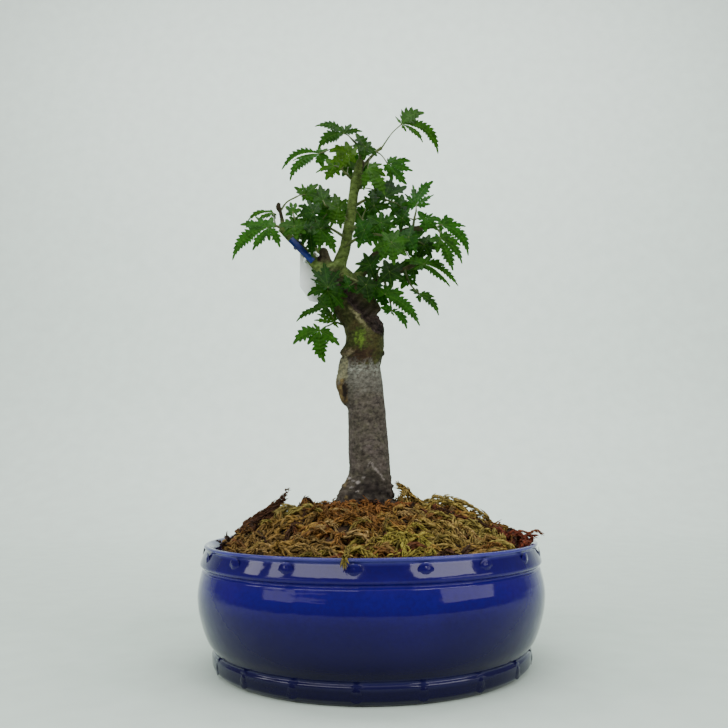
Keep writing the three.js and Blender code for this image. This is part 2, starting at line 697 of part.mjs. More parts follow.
        lobes: [
          [-16.7, -16, 5.2, 4.2], [-13.4, 1.5, 1.2, 4.4], [-7.3, -11.2, 0.6, 3.6], [0.6, -6.6, 0, 3],
          [5.6, -10, 1.2, 3.2], [2, 5.2, 0, 4.2], [-6, 5.4, 0, 2.6],
        ],
      },
      {
        joint: [-44.7, 203.7, 7], tilt: [-0.5, 0.4], from: 1,
        lobes: [[-12.4, -4.6, 3.6, 2], [-7, -3.6, 1.2, 2.4], [-3.4, 1, 0.3, 1.4], [1, -3, 0, 1.6]],
      },
    ],
  },
  // Single leaf on a long thin petiole from the upright twig
  spray_left_high: {
    shade: "mid",
    shoot: [[-41, 205, 0.7, 0.8], [-38.2, 209, 1.4, 0.5], [-34, 211.4, 2, 0.45]],
    leaves: [
      {
        joint: [-29.5, 212.4, 8], tilt: [-0.4, 0.6],
        lobes: [
          [-5.3, 4.2, 0.4, 2.8], [-1.5, 5.8, 0, 2], [6.4, 5.4, 0.6, 4], [10.4, 1.6, 0.8, 4],
          [-1.2, -3, 0, 1.8],
          [5.4, -4, 0, 3.8],
        ],
      },
    ],
  },
  // Middle of the left branch
  spray_left: {
    shade: "deep",
    shoot: [
      [-30.6, 186, 1.4, 1.1], [-30.7, 190.6, 0.6, 0.9], [-32.6, 196, -2, 0.8], [-34.8, 201.8, -2.4, 0.6],
    ],
    leaves: [
      {
        joint: [-35.3, 204, 1.5], tilt: [-0.4, 0.5],
        lobes: [
          [-3.4, 3, 0, 2.8], [-1.2, 5, 0, 2.4], [1.6, 4.6, 0, 2.6], [-3.6, -1.4, 0, 2.4], [4, 1, 0.4, 3],
        ],
      },
      {
        joint: [-34.5, 197, -14], tilt: [-0.5, 0.6],
        lobes: [
          [-7.6, 0.6, 0.6, 4.2], [-5.4, -4.6, 0, 3.8], [1, -6.4, 0, 4], [5.4, -3.6, 0, 3.6],
          [5.6, 2.6, 0, 3.8],
        ],
      },
    ],
  },
  // Upright shoot on the right branch
  spray_right_upper: {
    shade: "mid",
    shoot: [[21.6, 194.6, 1, 1.1], [22.4, 199.6, -0.5, 0.8], [23.4, 204, -2, 0.6]],
    leaves: [
      {
        joint: [23.5, 206.8, 1], tilt: [0.2, 0.5],
        lobes: [
          [8.5, 12, 2.2, 5.2], [8.6, 5.2, 0.3, 1.8], [6.8, 0.4, 0.3, 2.4], [-1.4, 10.4, 0, 2.8],
          [-5.4, 5.8, 0, 2],
          [-7, 0.6, 0.4, 3.6],
        ],
      },
      {
        joint: [27.6, 199.8, -10], tilt: [0.6, 0.4],
        lobes: [
          [7.6, -0.8, 1.3, 4.2], [3.8, 2.9, 0, 1.5], [5.4, -5.5, 0.8, 4], [0, -6.5, 0, 3.8],
          [-3.3, 4.2, 0, 3.4],
        ],
      },
      {
        joint: [16.8, 200.4, -3], tilt: [-0.3, 0.3], from: 1,
        lobes: [
          [-6, -3.4, 0, 3.8], [-3.5, 3, 0, 3], [3.6, 5, 0.4, 3.4], [3.8, -4.2, 0, 3.4], [-1.2, -6, 0, 3.6],
        ],
      },
    ],
  },
  // End of the right branch
  spray_right_end: {
    shade: "mid",
    shoot: [[29.4, 195.8, 0, 1], [32.6, 195.4, -1.6, 0.8], [34.4, 193.4, -3.6, 0.6]],
    leaves: [
      {
        joint: [35.5, 197, 4], tilt: [0.7, 0.4],
        lobes: [
          [5.8, 2.2, 1.4, 4.2], [11.4, -1, 0.8, 2.4], [12, -15.5, 4.8, 3.6], [-2, 3.5, 0, 2],
          [-1, -4, 0, 2],
        ],
      },
      {
        joint: [34.5, 190.2, -9], tilt: [0.8, 0.4],
        lobes: [
          [5.8, 1.4, 1, 3], [9.6, -3.6, 1.3, 3.6], [10, -12.6, 3, 3], [5.6, -15.8, 0.9, 4.2],
          [-1.8, -7, 0, 4],
          [-5, -0.6, 0, 3.6],
        ],
      },
    ],
  },
  // Under the middle of the right branch
  spray_right_middle: {
    shade: "deep",
    shoot: [[17.4, 194, 2.5, 1.1], [19.5, 191.5, -2, 0.9], [23.4, 189, -4, 0.7]],
    leaves: [
      {
        joint: [19.5, 191, -12], tilt: [0.3, 0.7],
        lobes: [[-6, 2.4, 0, 3.8], [-3.6, -6.8, 0, 4], [3.6, -7.6, 0, 4], [7, 1.6, 0, 3.8], [2, 6, 0, 3.8]],
      },
      {
        joint: [26.8, 187.2, -2], tilt: [0.5, 0.5],
        lobes: [[3.5, -6.8, 0, 3.8], [6.5, -2, 0, 3.6], [-3.6, -7.4, 0, 3], [-7, -1, 0, 4], [3, 5, 0, 3.8]],
      },
    ],
  },
  // In front of the leader's foot: the big leaves of the middle
  spray_front_middle: {
    shade: "mid",
    shoot: [[-10.4, 187, -1, 1.3], [-5, 190.5, -6, 1], [1.5, 192.6, -9, 0.9], [8, 192, -12, 0.7]],
    leaves: [
      {
        joint: [-1.5, 194.8, -9], tilt: [-0.4, 0.5],
        lobes: [[-5.3, -3.6, 0.4, 3.6], [-3, -9, 0, 4.2], [3.4, -8, 0, 4], [-3, 6.5, 0, 4], [4, 6.5, 0, 4.2]],
      },
      {
        joint: [11.5, 188.4, -21], tilt: [0.3, 0.7],
        lobes: [
          [-9.4, -4, 0.4, 5], [-6, -9, 0, 4.6], [1, -11, 0, 5], [7, -6.5, 0, 4.6], [8.6, 1, 0.5, 4.4],
          [3.5, 6.5, 0, 4], [-4.5, 5.5, 0, 4],
        ],
      },
      {
        joint: [6.5, 198.4, -15], tilt: [0.4, 0.3],
        lobes: [[-6.6, 3.4, 0, 4], [-5, -4, 0, 3], [6.8, 3, 0, 4], [7.6, -2.6, 0, 3.6], [0.6, 5.4, 0, 3.6]],
      },
    ],
  },
  // On the lower right branch, in front
  spray_low_middle: {
    shade: "deep",
    shoot: [[5, 170.4, 3, 1.2], [4.4, 174, -3, 0.9], [6, 176.4, -7, 0.7]],
    leaves: [
      {
        joint: [1.2, 177.4, -9], tilt: [-0.3, 0.5],
        lobes: [
          [-7.2, 0.8, 0.6, 2.6], [-7, -3, 0.3, 2.6], [-3, 6.4, 0, 3.4], [4.4, 5.6, 0, 4], [2.4, -7, 0, 4],
        ],
      },
      {
        joint: [10.2, 174.2, -12], tilt: [0.4, 0.6],
        lobes: [[-5.4, -5, 0, 4], [1, -7.6, 0, 4], [6.6, -3.6, 0, 4], [7.6, 4.6, 0, 4], [-2.4, 6, 0, 4.4]],
      },
    ],
  },
  // End of the lower right branch
  spray_low_right_end: {
    shade: "mid",
    shoot: [[22.6, 177.8, 0, 0.9], [25, 178.2, -1.6, 0.7]],
    leaves: [
      {
        joint: [26.5, 177.8, -10], tilt: [0.7, 0.3],
        lobes: [
          [9.8, -0.8, 1.1, 3.8], [7.8, -7.2, 1.6, 1.8], [12, -11.2, 2, 3.4], [16, -11, 3.3, 2.6],
          [3.2, 4, 0, 3.4], [-9.4, 2, 0.8, 3.2], [-4.6, -2.6, 0.4, 3],
        ],
      },
    ],
  },
  // Hanging from the lower right branch
  spray_low_right: {
    shade: "mid",
    shoot: [[17.6, 175.4, 0.5, 1], [18.2, 172.4, -2, 0.8], [20, 168, -3.6, 0.6], [23, 164.6, -3.6, 0.5]],
    leaves: [
      {
        joint: [18.2, 170.2, -2.5], tilt: [0.5, 0.3],
        lobes: [
          [-0.1, 6.8, 0, 2.2], [4.4, 2.2, 0.3, 2.8], [5.2, -3, 0.6, 2.4], [-2.8, -4.2, 0, 2.8],
          [-5.6, 1, 0.5, 2.8],
        ],
      },
      {
        joint: [24, 163.2, 0], tilt: [0.5, 0.6],
        lobes: [[8.9, -10.3, 2.6, 2.6], [7, -1.4, 0.7, 2.2], [0.2, -3.8, 0, 2.2], [-4.6, 2.2, 1, 1.8]],
      },
    ],
  },
  // Low on the right, in front of the wound
  spray_low_front: {
    shade: "mid",
    shoot: [[7.6, 171.6, 2.6, 1.1], [8.4, 167.6, -3, 0.9], [9.8, 162.4, -7, 0.7], [10.9, 157, -8, 0.5]],
    leaves: [
      {
        joint: [8, 163.4, -12], tilt: [0.4, 0.5],
        lobes: [[16, -15.4, 3.4, 3.8], [9, 0.4, 0.8, 4.6], [-4, 3.4, 0, 3.6], [3.4, 5, 0, 4]],
      },
      {
        joint: [3.6, 166, -6], tilt: [0, 0.4],
        lobes: [[5.4, -10, 0.8, 4.4], [-3, -5.4, 0, 3.4], [-4, 3.4, 0, 3.6], [2.4, 5, 0, 3.4]],
      },
      {
        joint: [11, 155.4, -12], tilt: [0.4, 0.4],
        lobes: [[6.8, -8.7, 2.4, 3], [-5.2, 1.8, 0.3, 3.2], [1, -2.2, 0, 1], [3, 1, 0, 1]],
      },
    ],
  },
  // In front of the trunk's top, right
  spray_front_right: {
    shade: "deep",
    shoot: [[-12, 172.6, -3, 1.2], [-8.4, 171.4, -10, 0.9], [-4.4, 169.6, -13.5, 0.7]],
    leaves: [
      {
        joint: [-0.8, 168, -19], tilt: [0.3, 0.6],
        lobes: [[1.5, -8.5, 0, 4.2], [-5, -4, 0, 3.8], [-4, 4.6, 0, 4], [2.4, 5.4, 0, 3.8], [5.4, 0, 0, 3.6]],
      },
      {
        joint: [-8.8, 167.4, -15], tilt: [-0.2, 0.3],
        lobes: [[-2.2, 5.8, 0, 2.6], [-5, 2.4, 0, 1.7], [-4.8, -0.4, 0, 1.6], [3, -3, 0, 2.6]],
      },
    ],
  },
  // In front of the trunk's top, left: a pair back to back
  spray_front_left: {
    shade: "deep",
    shoot: [[-18.6, 174, -4, 1.2], [-18.6, 170.6, -12, 0.9], [-18.8, 167, -14, 0.7]],
    leaves: [
      {
        joint: [-18.7, 167, -20], tilt: [-0.2, 0.6],
        lobes: [
          [-7.7, 8.8, 0.5, 4], [-1.8, 12, 0, 5], [5.8, 8.2, 0.5, 4.6], [5.2, 2.4, 0.3, 2.8],
          [-8.3, 4.4, 0.3, 1.8],
          [-4, 0.8, 0, 2],
        ],
      },
      {
        joint: [-18.9, 165.2, -17], tilt: [0.2, 0.4],
        lobes: [
          [-9.6, -2.2, 2, 4], [-3.4, -3.4, 0, 2.8], [2.5, -10.2, 0.4, 4.8], [7.4, -8.4, 0.8, 5],
          [9.4, -3, 0.8, 4.4],
        ],
      },
    ],
  },
  // Lowest on the left, on a twig of the old trunk
  spray_low_left: {
    shade: "bright",
    shoot: [[-9, 148.4, 0, 1], [-12.5, 149.4, -1.4, 0.75], [-15.2, 150.2, -3, 0.7], [-18.4, 148.8, -4, 0.5]],
    leaves: [
      {
        joint: [-22.5, 146.3, -9], tilt: [-0.4, 0.4],
        lobes: [
          [-12.5, -6.3, 2.6, 4.8], [2.4, -15, -1.8, 5.2], [9, -7.1, 1.2, 4.2], [6.4, -2, 0.6, 2.8],
          [-5.8, -6.4, 0.4, 3.8], [-3, 3.6, 0, 1.6],
        ],
      },
      {
        joint: [-16.3, 150.6, -4], tilt: [-0.3, 0.3],
        lobes: [
          [-3.6, 6.8, 0.4, 3.2], [-7.6, 3.8, 0.5, 1.8], [-9, 0.8, 0.3, 1.8], [2.4, -3, 0, 1.2],
          [0.8, 4.4, 0, 2.4],
        ],
      },
      {
        joint: [-19.6, 158, -6], tilt: [-0.5, 0.5], from: 2,
        lobes: [
          [-4, 4.2, 0.6, 4.4], [-6, -0.6, 0.5, 4.2], [-14, -7.4, 2.4, 2.6], [-1.8, -5.4, 0, 3.4],
          [3.6, 3, 0, 3],
        ],
      },
    ],
  },
  // Behind the leader, high
  spray_back_high: {
    shade: "mid",
    shoot: [[-6.2, 212, 2.2, 1.2], [-5, 215, 7, 0.9], [-3.4, 218.6, 11, 0.7]],
    leaves: [
      {
        joint: [-1, 223.4, 15], tilt: [-0.4, -0.6], back: true,
        lobes: [[6.5, 3, 0.6, 4], [5, -5.5, 0.4, 4], [-2, -8, 0, 4], [-4, 4, 0, 3.8], [2, 6, 0, 3.8]],
      },
      {
        joint: [-5.6, 228, 9], tilt: [0.3, -0.4], back: true, from: 1,
        lobes: [[-6, 3, 0.5, 3.8], [-3.4, -4, 0, 3.4], [4, 6, 0, 3.8], [0, 8, 0, 3.6]],
      },
      {
        joint: [4, 214.6, 14], tilt: [-0.5, -0.5], back: true, from: 1,
        lobes: [[7.5, 1, 0.8, 4], [5, -6, 0.4, 4], [-2.4, -6, 0, 3.8], [4, 6.4, 0, 3.8]],
      },
    ],
  },
  // Behind, on the back branch
  spray_back: {
    shade: "mid",
    shoot: [[-4.1, 197, 17.6, 1], [-2.4, 200, 21.5, 0.7]],
    leaves: [
      {
        joint: [-0.5, 205, 26], tilt: [-0.3, -0.7], back: true,
        lobes: [[6, 7, 0, 4.4], [9, 0, 0.8, 4.4], [5, -8, 0, 4.4], [-3, -9, 0, 4.4], [-6, -2, 0, 3.6]],
      },
      {
        joint: [-6.5, 206, 22], tilt: [0.4, -0.6], back: true,
        lobes: [[-2.6, 4, 0, 3.4], [-8, -1, 1, 4.2], [-6, -8, 0, 4.2], [1.6, -8, 0, 4.2]],
      },
      {
        joint: [3, 195, 17], tilt: [-0.3, -0.5], back: true, from: 1,
        lobes: [[7, 5, 0, 4.2], [7.6, -3, 0.6, 4.2], [1, -8, 0, 4.4], [-6, -5, 0, 4], [-3, 5, 0, 3.4]],
      },
    ],
  },
  // Behind, on the right
  spray_back_right: {
    shade: "mid",
    shoot: [[12.8, 184.8, 16, 1], [15.5, 187.4, 20, 0.7]],
    leaves: [
      {
        joint: [19.4, 190.6, 23], tilt: [-0.6, -0.6], back: true,
        lobes: [[8, 3, 0.8, 4.4], [8, -6, 0.8, 4.4], [1, -9, 0, 4.4], [-5.6, -5, 0, 4], [2, 6, 0, 3.8]],
      },
      {
        joint: [11.6, 190, 23], tilt: [0.1, -0.7], back: true,
        lobes: [[-3, 6, 0, 4], [-8.4, 0, 0.6, 4.2], [-6.5, -8, 0, 4.4], [1, -9, 0, 4.2]],
      },
      {
        joint: [21, 179, 17], tilt: [-0.5, -0.4], back: true, from: 1,
        lobes: [[7, 4, 0.4, 4], [8, -4, 0.8, 4.2], [1, -9, 0, 4.2], [-6, -4, 0, 4]],
      },
    ],
  },
  // Behind, on the left
  spray_back_left: {
    shade: "mid",
    shoot: [[-23.3, 184.9, 19.8, 1], [-27.5, 190, 22, 0.7]],
    leaves: [
      {
        joint: [-31, 196.4, 22], tilt: [0.6, -0.5], back: true,
        lobes: [[-6, 5.4, 0, 4], [-7.4, -2, 0.8, 4.2], [-3, -7.6, 0, 4.2], [3, 6, 0, 3.8]],
      },
      {
        joint: [-24.6, 196, 23], tilt: [-0.1, -0.6], back: true,
        lobes: [[-1, 8.4, 0, 4.2], [7, 5, 0.6, 4.2], [7.4, -2, 0.6, 4], [1, -7, 0, 4]],
      },
      {
        joint: [-19, 203, 14], tilt: [-0.2, -0.6], back: true,
        lobes: [[-3, 6.4, 0, 4], [5, 5, 0, 4], [6, -3, 0.4, 4], [-4, -6, 0, 4.2], [-7, 1, 0.4, 4]],
      },
    ],
  },
};

// Name tag, left bare: a flat band that lies along the left branch and a plate that hangs behind it. Each has
// a collar round the branch.
function collar(middle, reach, bore) {
  const from = middle.clone().sub(reach);
  const to = middle.clone().add(reach);
  const outside = limb([[...from, bore + tagThickness], [...to, bore + tagThickness]], 7);
  const inside = limb([[...from.sub(reach), bore], [...to.add(reach), bore]], 7);
  return outside.subtract(inside);
}

function slab(corners) {
  const fan = corners.slice(2).map((_, i) => [0, i + 1, i + 2]);
  return thickened(corners, fan, corners.map((_, i) => i), tagThickness);
}

const branchRun = new THREE.Vector3(-0.7, 0.02, 0.71);
const bandStart = new THREE.Vector3(-35.9, -1.6, 191);
const bandEnd = new THREE.Vector3(-24.8, -5, 179.6);
const bandAcross = new THREE.Vector3(0.71, 0, 0.7).multiplyScalar(1.9);
const tagBand = collar(new THREE.Vector3(-35.9, 1.6, 191), branchRun.clone().multiplyScalar(1.8), 2.5)
  .add(slab([
    bandStart.clone().sub(bandAcross),
    bandEnd.clone().sub(bandAcross),
    bandEnd.clone().add(bandAcross),
    bandStart.clone().add(bandAcross),
  ]));

const plateHook = new THREE.Vector3(-27.4, 0.95, 182);
const tagPlate = collar(plateHook, branchRun.clone().multiplyScalar(1.5), 3.25)
  .add(solid(new THREE.BoxGeometry(2.6, 1.4, 2.6).translate(plateHook.x, 5.1, plateHook.z)))
  .add(slab([
    at(-31.9, 184.6, 4.6),
    at(-31.9, 167.8, 4.6),
    at(-29.9, 164.8, 5),
    at(-27.5, 160.9, 5.4),
    at(-24.7, 159.9, 6),
    at(-22.2, 160.3, 6.5),
    at(-22.2, 181.5, 6.5),
    at(-25, 184.6, 5.9),
  ]));

const greens = {
  mid: { color: 0x4f7a2c, roughness: 0.5, metalness: 0 },
  deep: { color: 0x35602c, roughness: 0.5, metalness: 0 },
  bright: { color: 0x6c9a34, roughness: 0.5, metalness: 0 },
  yellow: { color: 0x93a83c, roughness: 0.5, metalness: 0 },
};

const group = new THREE.Group();
group.name = "shishigashira_japanese_maple_bonsai";

function place(name, geometry, look) {
  const mesh = new THREE.Mesh(geometry, new THREE.MeshStandardMaterial(look));
  mesh.name = name;
  group.add(mesh);
}

place("pot", geometryOf(pot), { color: 0x16227e, roughness: 0.12, metalness: 0 });
place("drain_net", geometryOf(drainNet), { color: 0x222622, roughness: 0.6, metalness: 0 });
place("soil", geometryOf(soil), { color: 0x4a3626, roughness: 0.95, metalness: 0 });
place("moss", geometryOf(moss), { color: 0xa08348, roughness: 0.95, metalness: 0 });
place("trunk", geometryOf(tree), { color: 0x7b7468, roughness: 0.85, metalness: 0 });
place("tag_band", geometryOf(tagBand), { color: 0x2f63b8, roughness: 0.4, metalness: 0 });
place("tag_plate", geometryOf(tagPlate), { color: 0xc9ccc8, roughness: 0.5, metalness: 0 });
for (const [name, parts] of Object.entries(sprays)) {
  place(name, geometryOf(spray(parts)), greens[parts.shade]);
}

export default group;
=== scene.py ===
import math

import bpy
import numpy as np
from mathutils import Matrix, Vector, noise


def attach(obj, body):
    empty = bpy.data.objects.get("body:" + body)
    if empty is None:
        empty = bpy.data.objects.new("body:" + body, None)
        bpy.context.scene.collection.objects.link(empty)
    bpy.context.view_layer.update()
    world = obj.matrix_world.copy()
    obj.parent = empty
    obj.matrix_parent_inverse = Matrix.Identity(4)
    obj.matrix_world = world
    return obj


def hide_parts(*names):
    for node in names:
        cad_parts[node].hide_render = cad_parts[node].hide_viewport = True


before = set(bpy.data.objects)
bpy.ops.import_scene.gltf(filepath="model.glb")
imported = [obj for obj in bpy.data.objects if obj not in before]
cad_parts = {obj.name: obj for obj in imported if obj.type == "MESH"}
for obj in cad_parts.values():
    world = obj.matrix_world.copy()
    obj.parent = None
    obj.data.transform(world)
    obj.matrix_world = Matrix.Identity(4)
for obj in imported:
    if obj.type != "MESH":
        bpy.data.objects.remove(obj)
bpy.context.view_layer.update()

# A small Japanese maple grown as a bonsai, with dried moss round its trunk, in a round glazed pot.
# Measures are in millimetres until a mesh is made from them; a mesh and its patterns are in metres.
MM = 0.001

# Pot: one body of thrown stoneware, with round buttons of clay pressed on round its rim and its foot, dipped
# in a cobalt glaze and fired standing on its bare foot ring.


def smooth_line(points, steps):
    """A smooth line through points, with steps between each two. A point may carry more than its place."""
    points = np.asarray(points, dtype=float)
    padded = np.vstack([2 * points[0] - points[1], points, 2 * points[-1] - points[-2]])
    out = []
    for i in range(1, len(padded) - 2):
        a, b, c, d = padded[i - 1:i + 3]
        for t in np.arange(steps) / steps:
            out.append(0.5 * (2 * b + (c - a) * t + (2 * a - 5 * b + 4 * c - d) * t * t
                              + (3 * b - a - 3 * c + d) * t ** 3))
    return np.array(out + [points[-1]])


def grid(rows, columns, loop=False, around=True, flip=False, start=0):
    """Faces between rows of points that are numbered from start. loop joins the last row to the first,
    around joins the end of each row to its start, and flip turns the faces over."""
    faces = []
    for r in range(rows if loop else rows - 1):
        here, there = start + r * columns, start + (r + 1) % rows * columns
        for c in range(columns if around else columns - 1):
            n = (c + 1) % columns
            if flip:
                faces.append((here + c, there + c, there + n, here + n))
            else:
                faces.append((here + c, here + n, there + n, there + c))
    return faces


def turned(profile, segments):
    """Points and faces of a closed profile of (radius, height) turned on the wheel."""
    profile = np.asarray(profile, dtype=float)
    turns = np.linspace(0, 2 * math.pi, segments, endpoint=False)
    points = np.stack([
        np.outer(np.cos(turns), profile[:, 0]),
        np.outer(np.sin(turns), profile[:, 0]),
        np.tile(profile[:, 1], (segments, 1)),
    ], axis=-1).reshape(-1, 3)
    return points, grid(segments, len(profile), loop=True, flip=True)


BUTTON_SIDES, BUTTON_RADIUS, BUTTON_RISE = 20, 2.0, 0.45
# From the edge, sunk in the wall, to the crown: share of a button's radius, share of its rise
BUTTON_RINGS = [(1.6, -0.3), (1.4, 0.01), (1.15, 0.08), (0.92, 0.3), (0.7, 0.62), (0.48, 0.85), (0.25, 0.97)]


def button(height, wall, turn):
    """Points and faces of a round clay button at this height and turn, on a wall of this radius."""
    out = np.array([math.cos(turn), math.sin(turn), 0])
    side = np.array([-out[1], out[0], 0])
    up = np.array([0, 0, 1.0])
    points = []
    for share, rise in BUTTON_RINGS:
        for k in range(BUTTON_SIDES):
            a = 2 * math.pi * k / BUTTON_SIDES
            spread = BUTTON_RADIUS * share * (math.cos(a) * side + math.sin(a) * up)
            bow = (BUTTON_RADIUS * share * math.cos(a)) ** 2 / (2 * wall)
            points.append(out * (wall - bow + BUTTON_RISE * rise) + spread + up * height)
    points.append(out * (wall + BUTTON_RISE * 1.02) + up * height)
    crown, last = len(points) - 1, (len(BUTTON_RINGS) - 1) * BUTTON_SIDES
    cap = [(last + k, last + (k + 1) % BUTTON_SIDES, crown) for k in range(BUTTON_SIDES)]
    return np.array(points), grid(len(BUTTON_RINGS), BUTTON_SIDES) + cap


def gathered(parts):
    """Several (points, faces) as one."""
    points, faces, start = [], [], 0
    for some, sides in parts:
        points.append(some)
        faces.extend(tuple(i + start for i in face) for face in sides)
        start += len(some)
    return np.vstack(points), faces


def piece(name, points, faces, materials, attributes=None, slots=None):
    """A smooth mesh from points in millimetres. attributes give each point a number or a colour."""
    mesh = bpy.data.meshes.new(name)
    mesh.from_pydata((np.asarray(points, dtype=float) * MM).tolist(), [], faces)
    mesh.polygons.foreach_set("use_smooth", [True] * len(mesh.polygons))
    for material in materials:
        mesh.materials.append(material)
    if slots is not None:
        mesh.polygons.foreach_set("material_index", slots)
    for key, values in (attributes or {}).items():
        flat = np.asarray(values, dtype=np.float32)
        kind, field = ("FLOAT", "value") if flat.ndim == 1 else ("FLOAT_COLOR", "color")
        mesh.attributes.new(key, kind, "POINT").data.foreach_set(field, flat.ravel())
    mesh.update()
    made = bpy.data.objects.new(name, mesh)
    bpy.context.collection.objects.link(made)
    return made


def linear(code):
    """An sRGB hex colour as linear RGBA."""
    parts = [int(code[i:i + 2], 16) / 255 for i in (1, 3, 5)]
    return [c / 12.92 if c <= 0.04045 else ((c + 0.055) / 1.055) ** 2.4 for c in parts] + [1.0]


def add(tree, kind, settings=None, stops=(), **inputs):
    """A new shader node's outputs. Inputs go by name, or by number as _0, and take a value or a link;
    stops are a colour ramp's places and hex colours."""
    made = tree.nodes.new("ShaderNode" + kind)
    for key, value in (settings or {}).items():
        setattr(made, key, value)
    for i, (place, code) in enumerate(stops):
        if i >= len(made.color_ramp.elements):
            made.color_ramp.elements.new(place)
        made.color_ramp.elements[i].position = place
        made.color_ramp.elements[i].color = linear(code)
    for key, value in inputs.items():
        socket = made.inputs[int(key[1:]) if key[0] == "_" else key.replace("_", " ")]
        if isinstance(value, bpy.types.NodeSocket):
            tree.links.new(value, socket)
        else:
            socket.default_value = linear(value) if isinstance(value, str) else value
    return made.outputs


def finish_of(name, **values):
    """A new material, its node tree, its Principled shader with values on its own sockets, and where on the
    object a point is."""
    material = bpy.data.materials.new(name)
    material.use_nodes = True
    tree = material.node_tree
    shader = tree.nodes["Principled BSDF"]
    for key, value in values.items():
        shader.inputs[key.replace("_", " ")].default_value = value
    return material, tree, shader, add(tree, "TexCoord")["Object"]


def feed(tree, node, **outputs):
    """Link outputs to the inputs of these names on a node that stands already."""
    for key, output in outputs.items():
        tree.links.new(output, node.inputs[key.replace("_", " ")])


WALL_HEIGHT = 52.0
POT_SIDES = 240
# The wall's section as (radius, height): up the outside, over the lip, then down the inside, through the hole
# in the floor and out under it to the foot ring
outer_wall = smooth_line([
    (66.9, 1.3), (68.0, 2.6), (68.3, 4.7), (68.3, 6.8), (67.6, 8.1), (68.4, 9.6), (70.6, 13), (72.6, 18),
    (74.3, 24.5), (74.9, 30.5), (74.5, 35), (74.12, 37), (73.65, 39), (73.4, 40.2), (73.2, 40.6),
], 6)
rim = smooth_line([
    (73.2, 40.6), (72.6, 41.2), (72.8, 41.9), (73.7, 42.6), (74.0, 43.6), (73.3, 45.9), (72.3, 48.4),
    (72.0, 49.4), (72.6, 50.2), (72.5, 50.8), (71.8, 51.2), (70.9, 51.0), (69.9, 50.3), (68.7, 48.9),
    (68.2, 46.5),
], 5)
inner_wall = [(68.4, 36), (68.5, 28), (66, 18), (62, 9.1), (57, 7.1), (7.1, 7.1), (7.1, 3.1), (57, 3.1),
              (58.2, 0.3), (58.8, 0.02), (64.6, 0.02), (65.8, 0.3)]
STUDS = 18
FIRST_STUD = math.radians(-95)
# Height and radius of the wall under the studs: rim band, foot band
STUD_ROWS = [(46.3, 73.15), (4.9, 68.2)]
studs = []
for k in range(STUDS):
    for height, wall in STUD_ROWS:
        studs.append(button(height, wall, FIRST_STUD + 2 * math.pi * k / STUDS))
points, faces = gathered([turned([*outer_wall, *rim[1:], *inner_wall], POT_SIDES), *studs])

# Cobalt glaze over stoneware, fired glossy: a deep blue that thins to a paler blue where it ran off an edge,
# with painted highlights along the edges and painted shade low on the wall.
# Typical glaze: IOR 1.5, roughness under 0.1. The foot's underside is bare fired clay.
BLENDED = {"data_type": "RGBA"}
MULTIPLIED = {"data_type": "RGBA", "blend_type": "MULTIPLY"}
glaze, tree, shader, place = finish_of("cobalt_glaze_on_stoneware", IOR=1.5, Specular_IOR_Level=0.2)
height = add(tree, "SeparateXYZ", Vector=place)["Z"]
# Clouds about 26 mm wide, specks about 1.6 mm
cloud = add(tree, "TexNoise", Vector=place, Scale=38.0, Detail=4.0, Roughness=0.55)[0]
speck = add(tree, "TexNoise", Vector=place, Scale=620.0, Detail=3.0, Roughness=0.6)[0]
body_blue = add(tree, "ValToRGB", stops=[
    (0.3, "#160558"), (0.52, "#18065e"), (0.75, "#1b0765"),
], Fac=cloud)[0]
pinholes = add(tree, "ValToRGB", stops=[(0.3, "#909090"), (0.6, "#000000")], Fac=speck)[0]
# Painted shade by height up the wall: the blue is darkest on the foot and lower belly, which turn away from
# the light above, full on the upper belly, and a little darker on the rim band and lip
level = add(tree, "Math", {"operation": "MULTIPLY"}, _0=height, _1=1 / (WALL_HEIGHT * MM))[0]
depth = add(tree, "ValToRGB", stops=[
    (0.2, "#707070"), (0.54, "#c6c6c6"), (0.68, "#ffffff"), (0.8, "#ffffff"), (0.86, "#cdcdcd"),
], Fac=level)[0]
shaded_by_height = add(tree, "Mix", MULTIPLIED, _0=1.0, _6=body_blue, _7=depth)[2]
speckled = add(tree, "Mix", BLENDED, _0=pinholes, _6=shaded_by_height, _7="#0c0330")[2]
# It is thin, and so pale, at the foot; the pale lines on the foot band's shoulder, over the groove's edge and
# on the lip are partly thin glaze and partly painted highlights
thin_glaze_and_highlights = add(tree, "ValToRGB", stops=[
    (0.0, "#303030"), (0.03, "#202020"), (0.10, "#0a0a0a"), (0.155, "#585858"), (0.19, "#101010"),
    (0.72, "#000000"), (0.80, "#303030"), (0.93, "#101010"), (0.965, "#b0b0b0"), (1.0, "#787878"),
], Fac=level)[0]
uneven = add(tree, "Math", {"operation": "MULTIPLY"}, _0=thin_glaze_and_highlights, _1=cloud)[0]
edged_and_highlit = add(tree, "Mix", BLENDED, _0=uneven, _6=speckled, _7="#6a6cc8")[2]
underside = add(tree, "Math", {"operation": "LESS_THAN"}, _0=height, _1=0.25 * MM)[0]
fired = add(tree, "Mix", BLENDED, _0=underside, _6=edged_and_highlit, _7="#8a7461")[2]
gloss = add(tree, "MapRange", Value=underside, To_Min=0.07, To_Max=0.8)[0]
# The glaze lies uneven in ripples about 8 mm wide
ripple = add(tree, "TexNoise", Vector=place, Scale=120.0, Detail=2.0)[0]
wave = add(tree, "Bump", Strength=0.16, Distance=0.0008, Height=ripple)[0]
feed(tree, shader, Base_Color=fired, Roughness=gloss, Normal=wave)
pot = piece("glazed_pot", points, faces, [glaze])
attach(pot, "root")
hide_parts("pot")

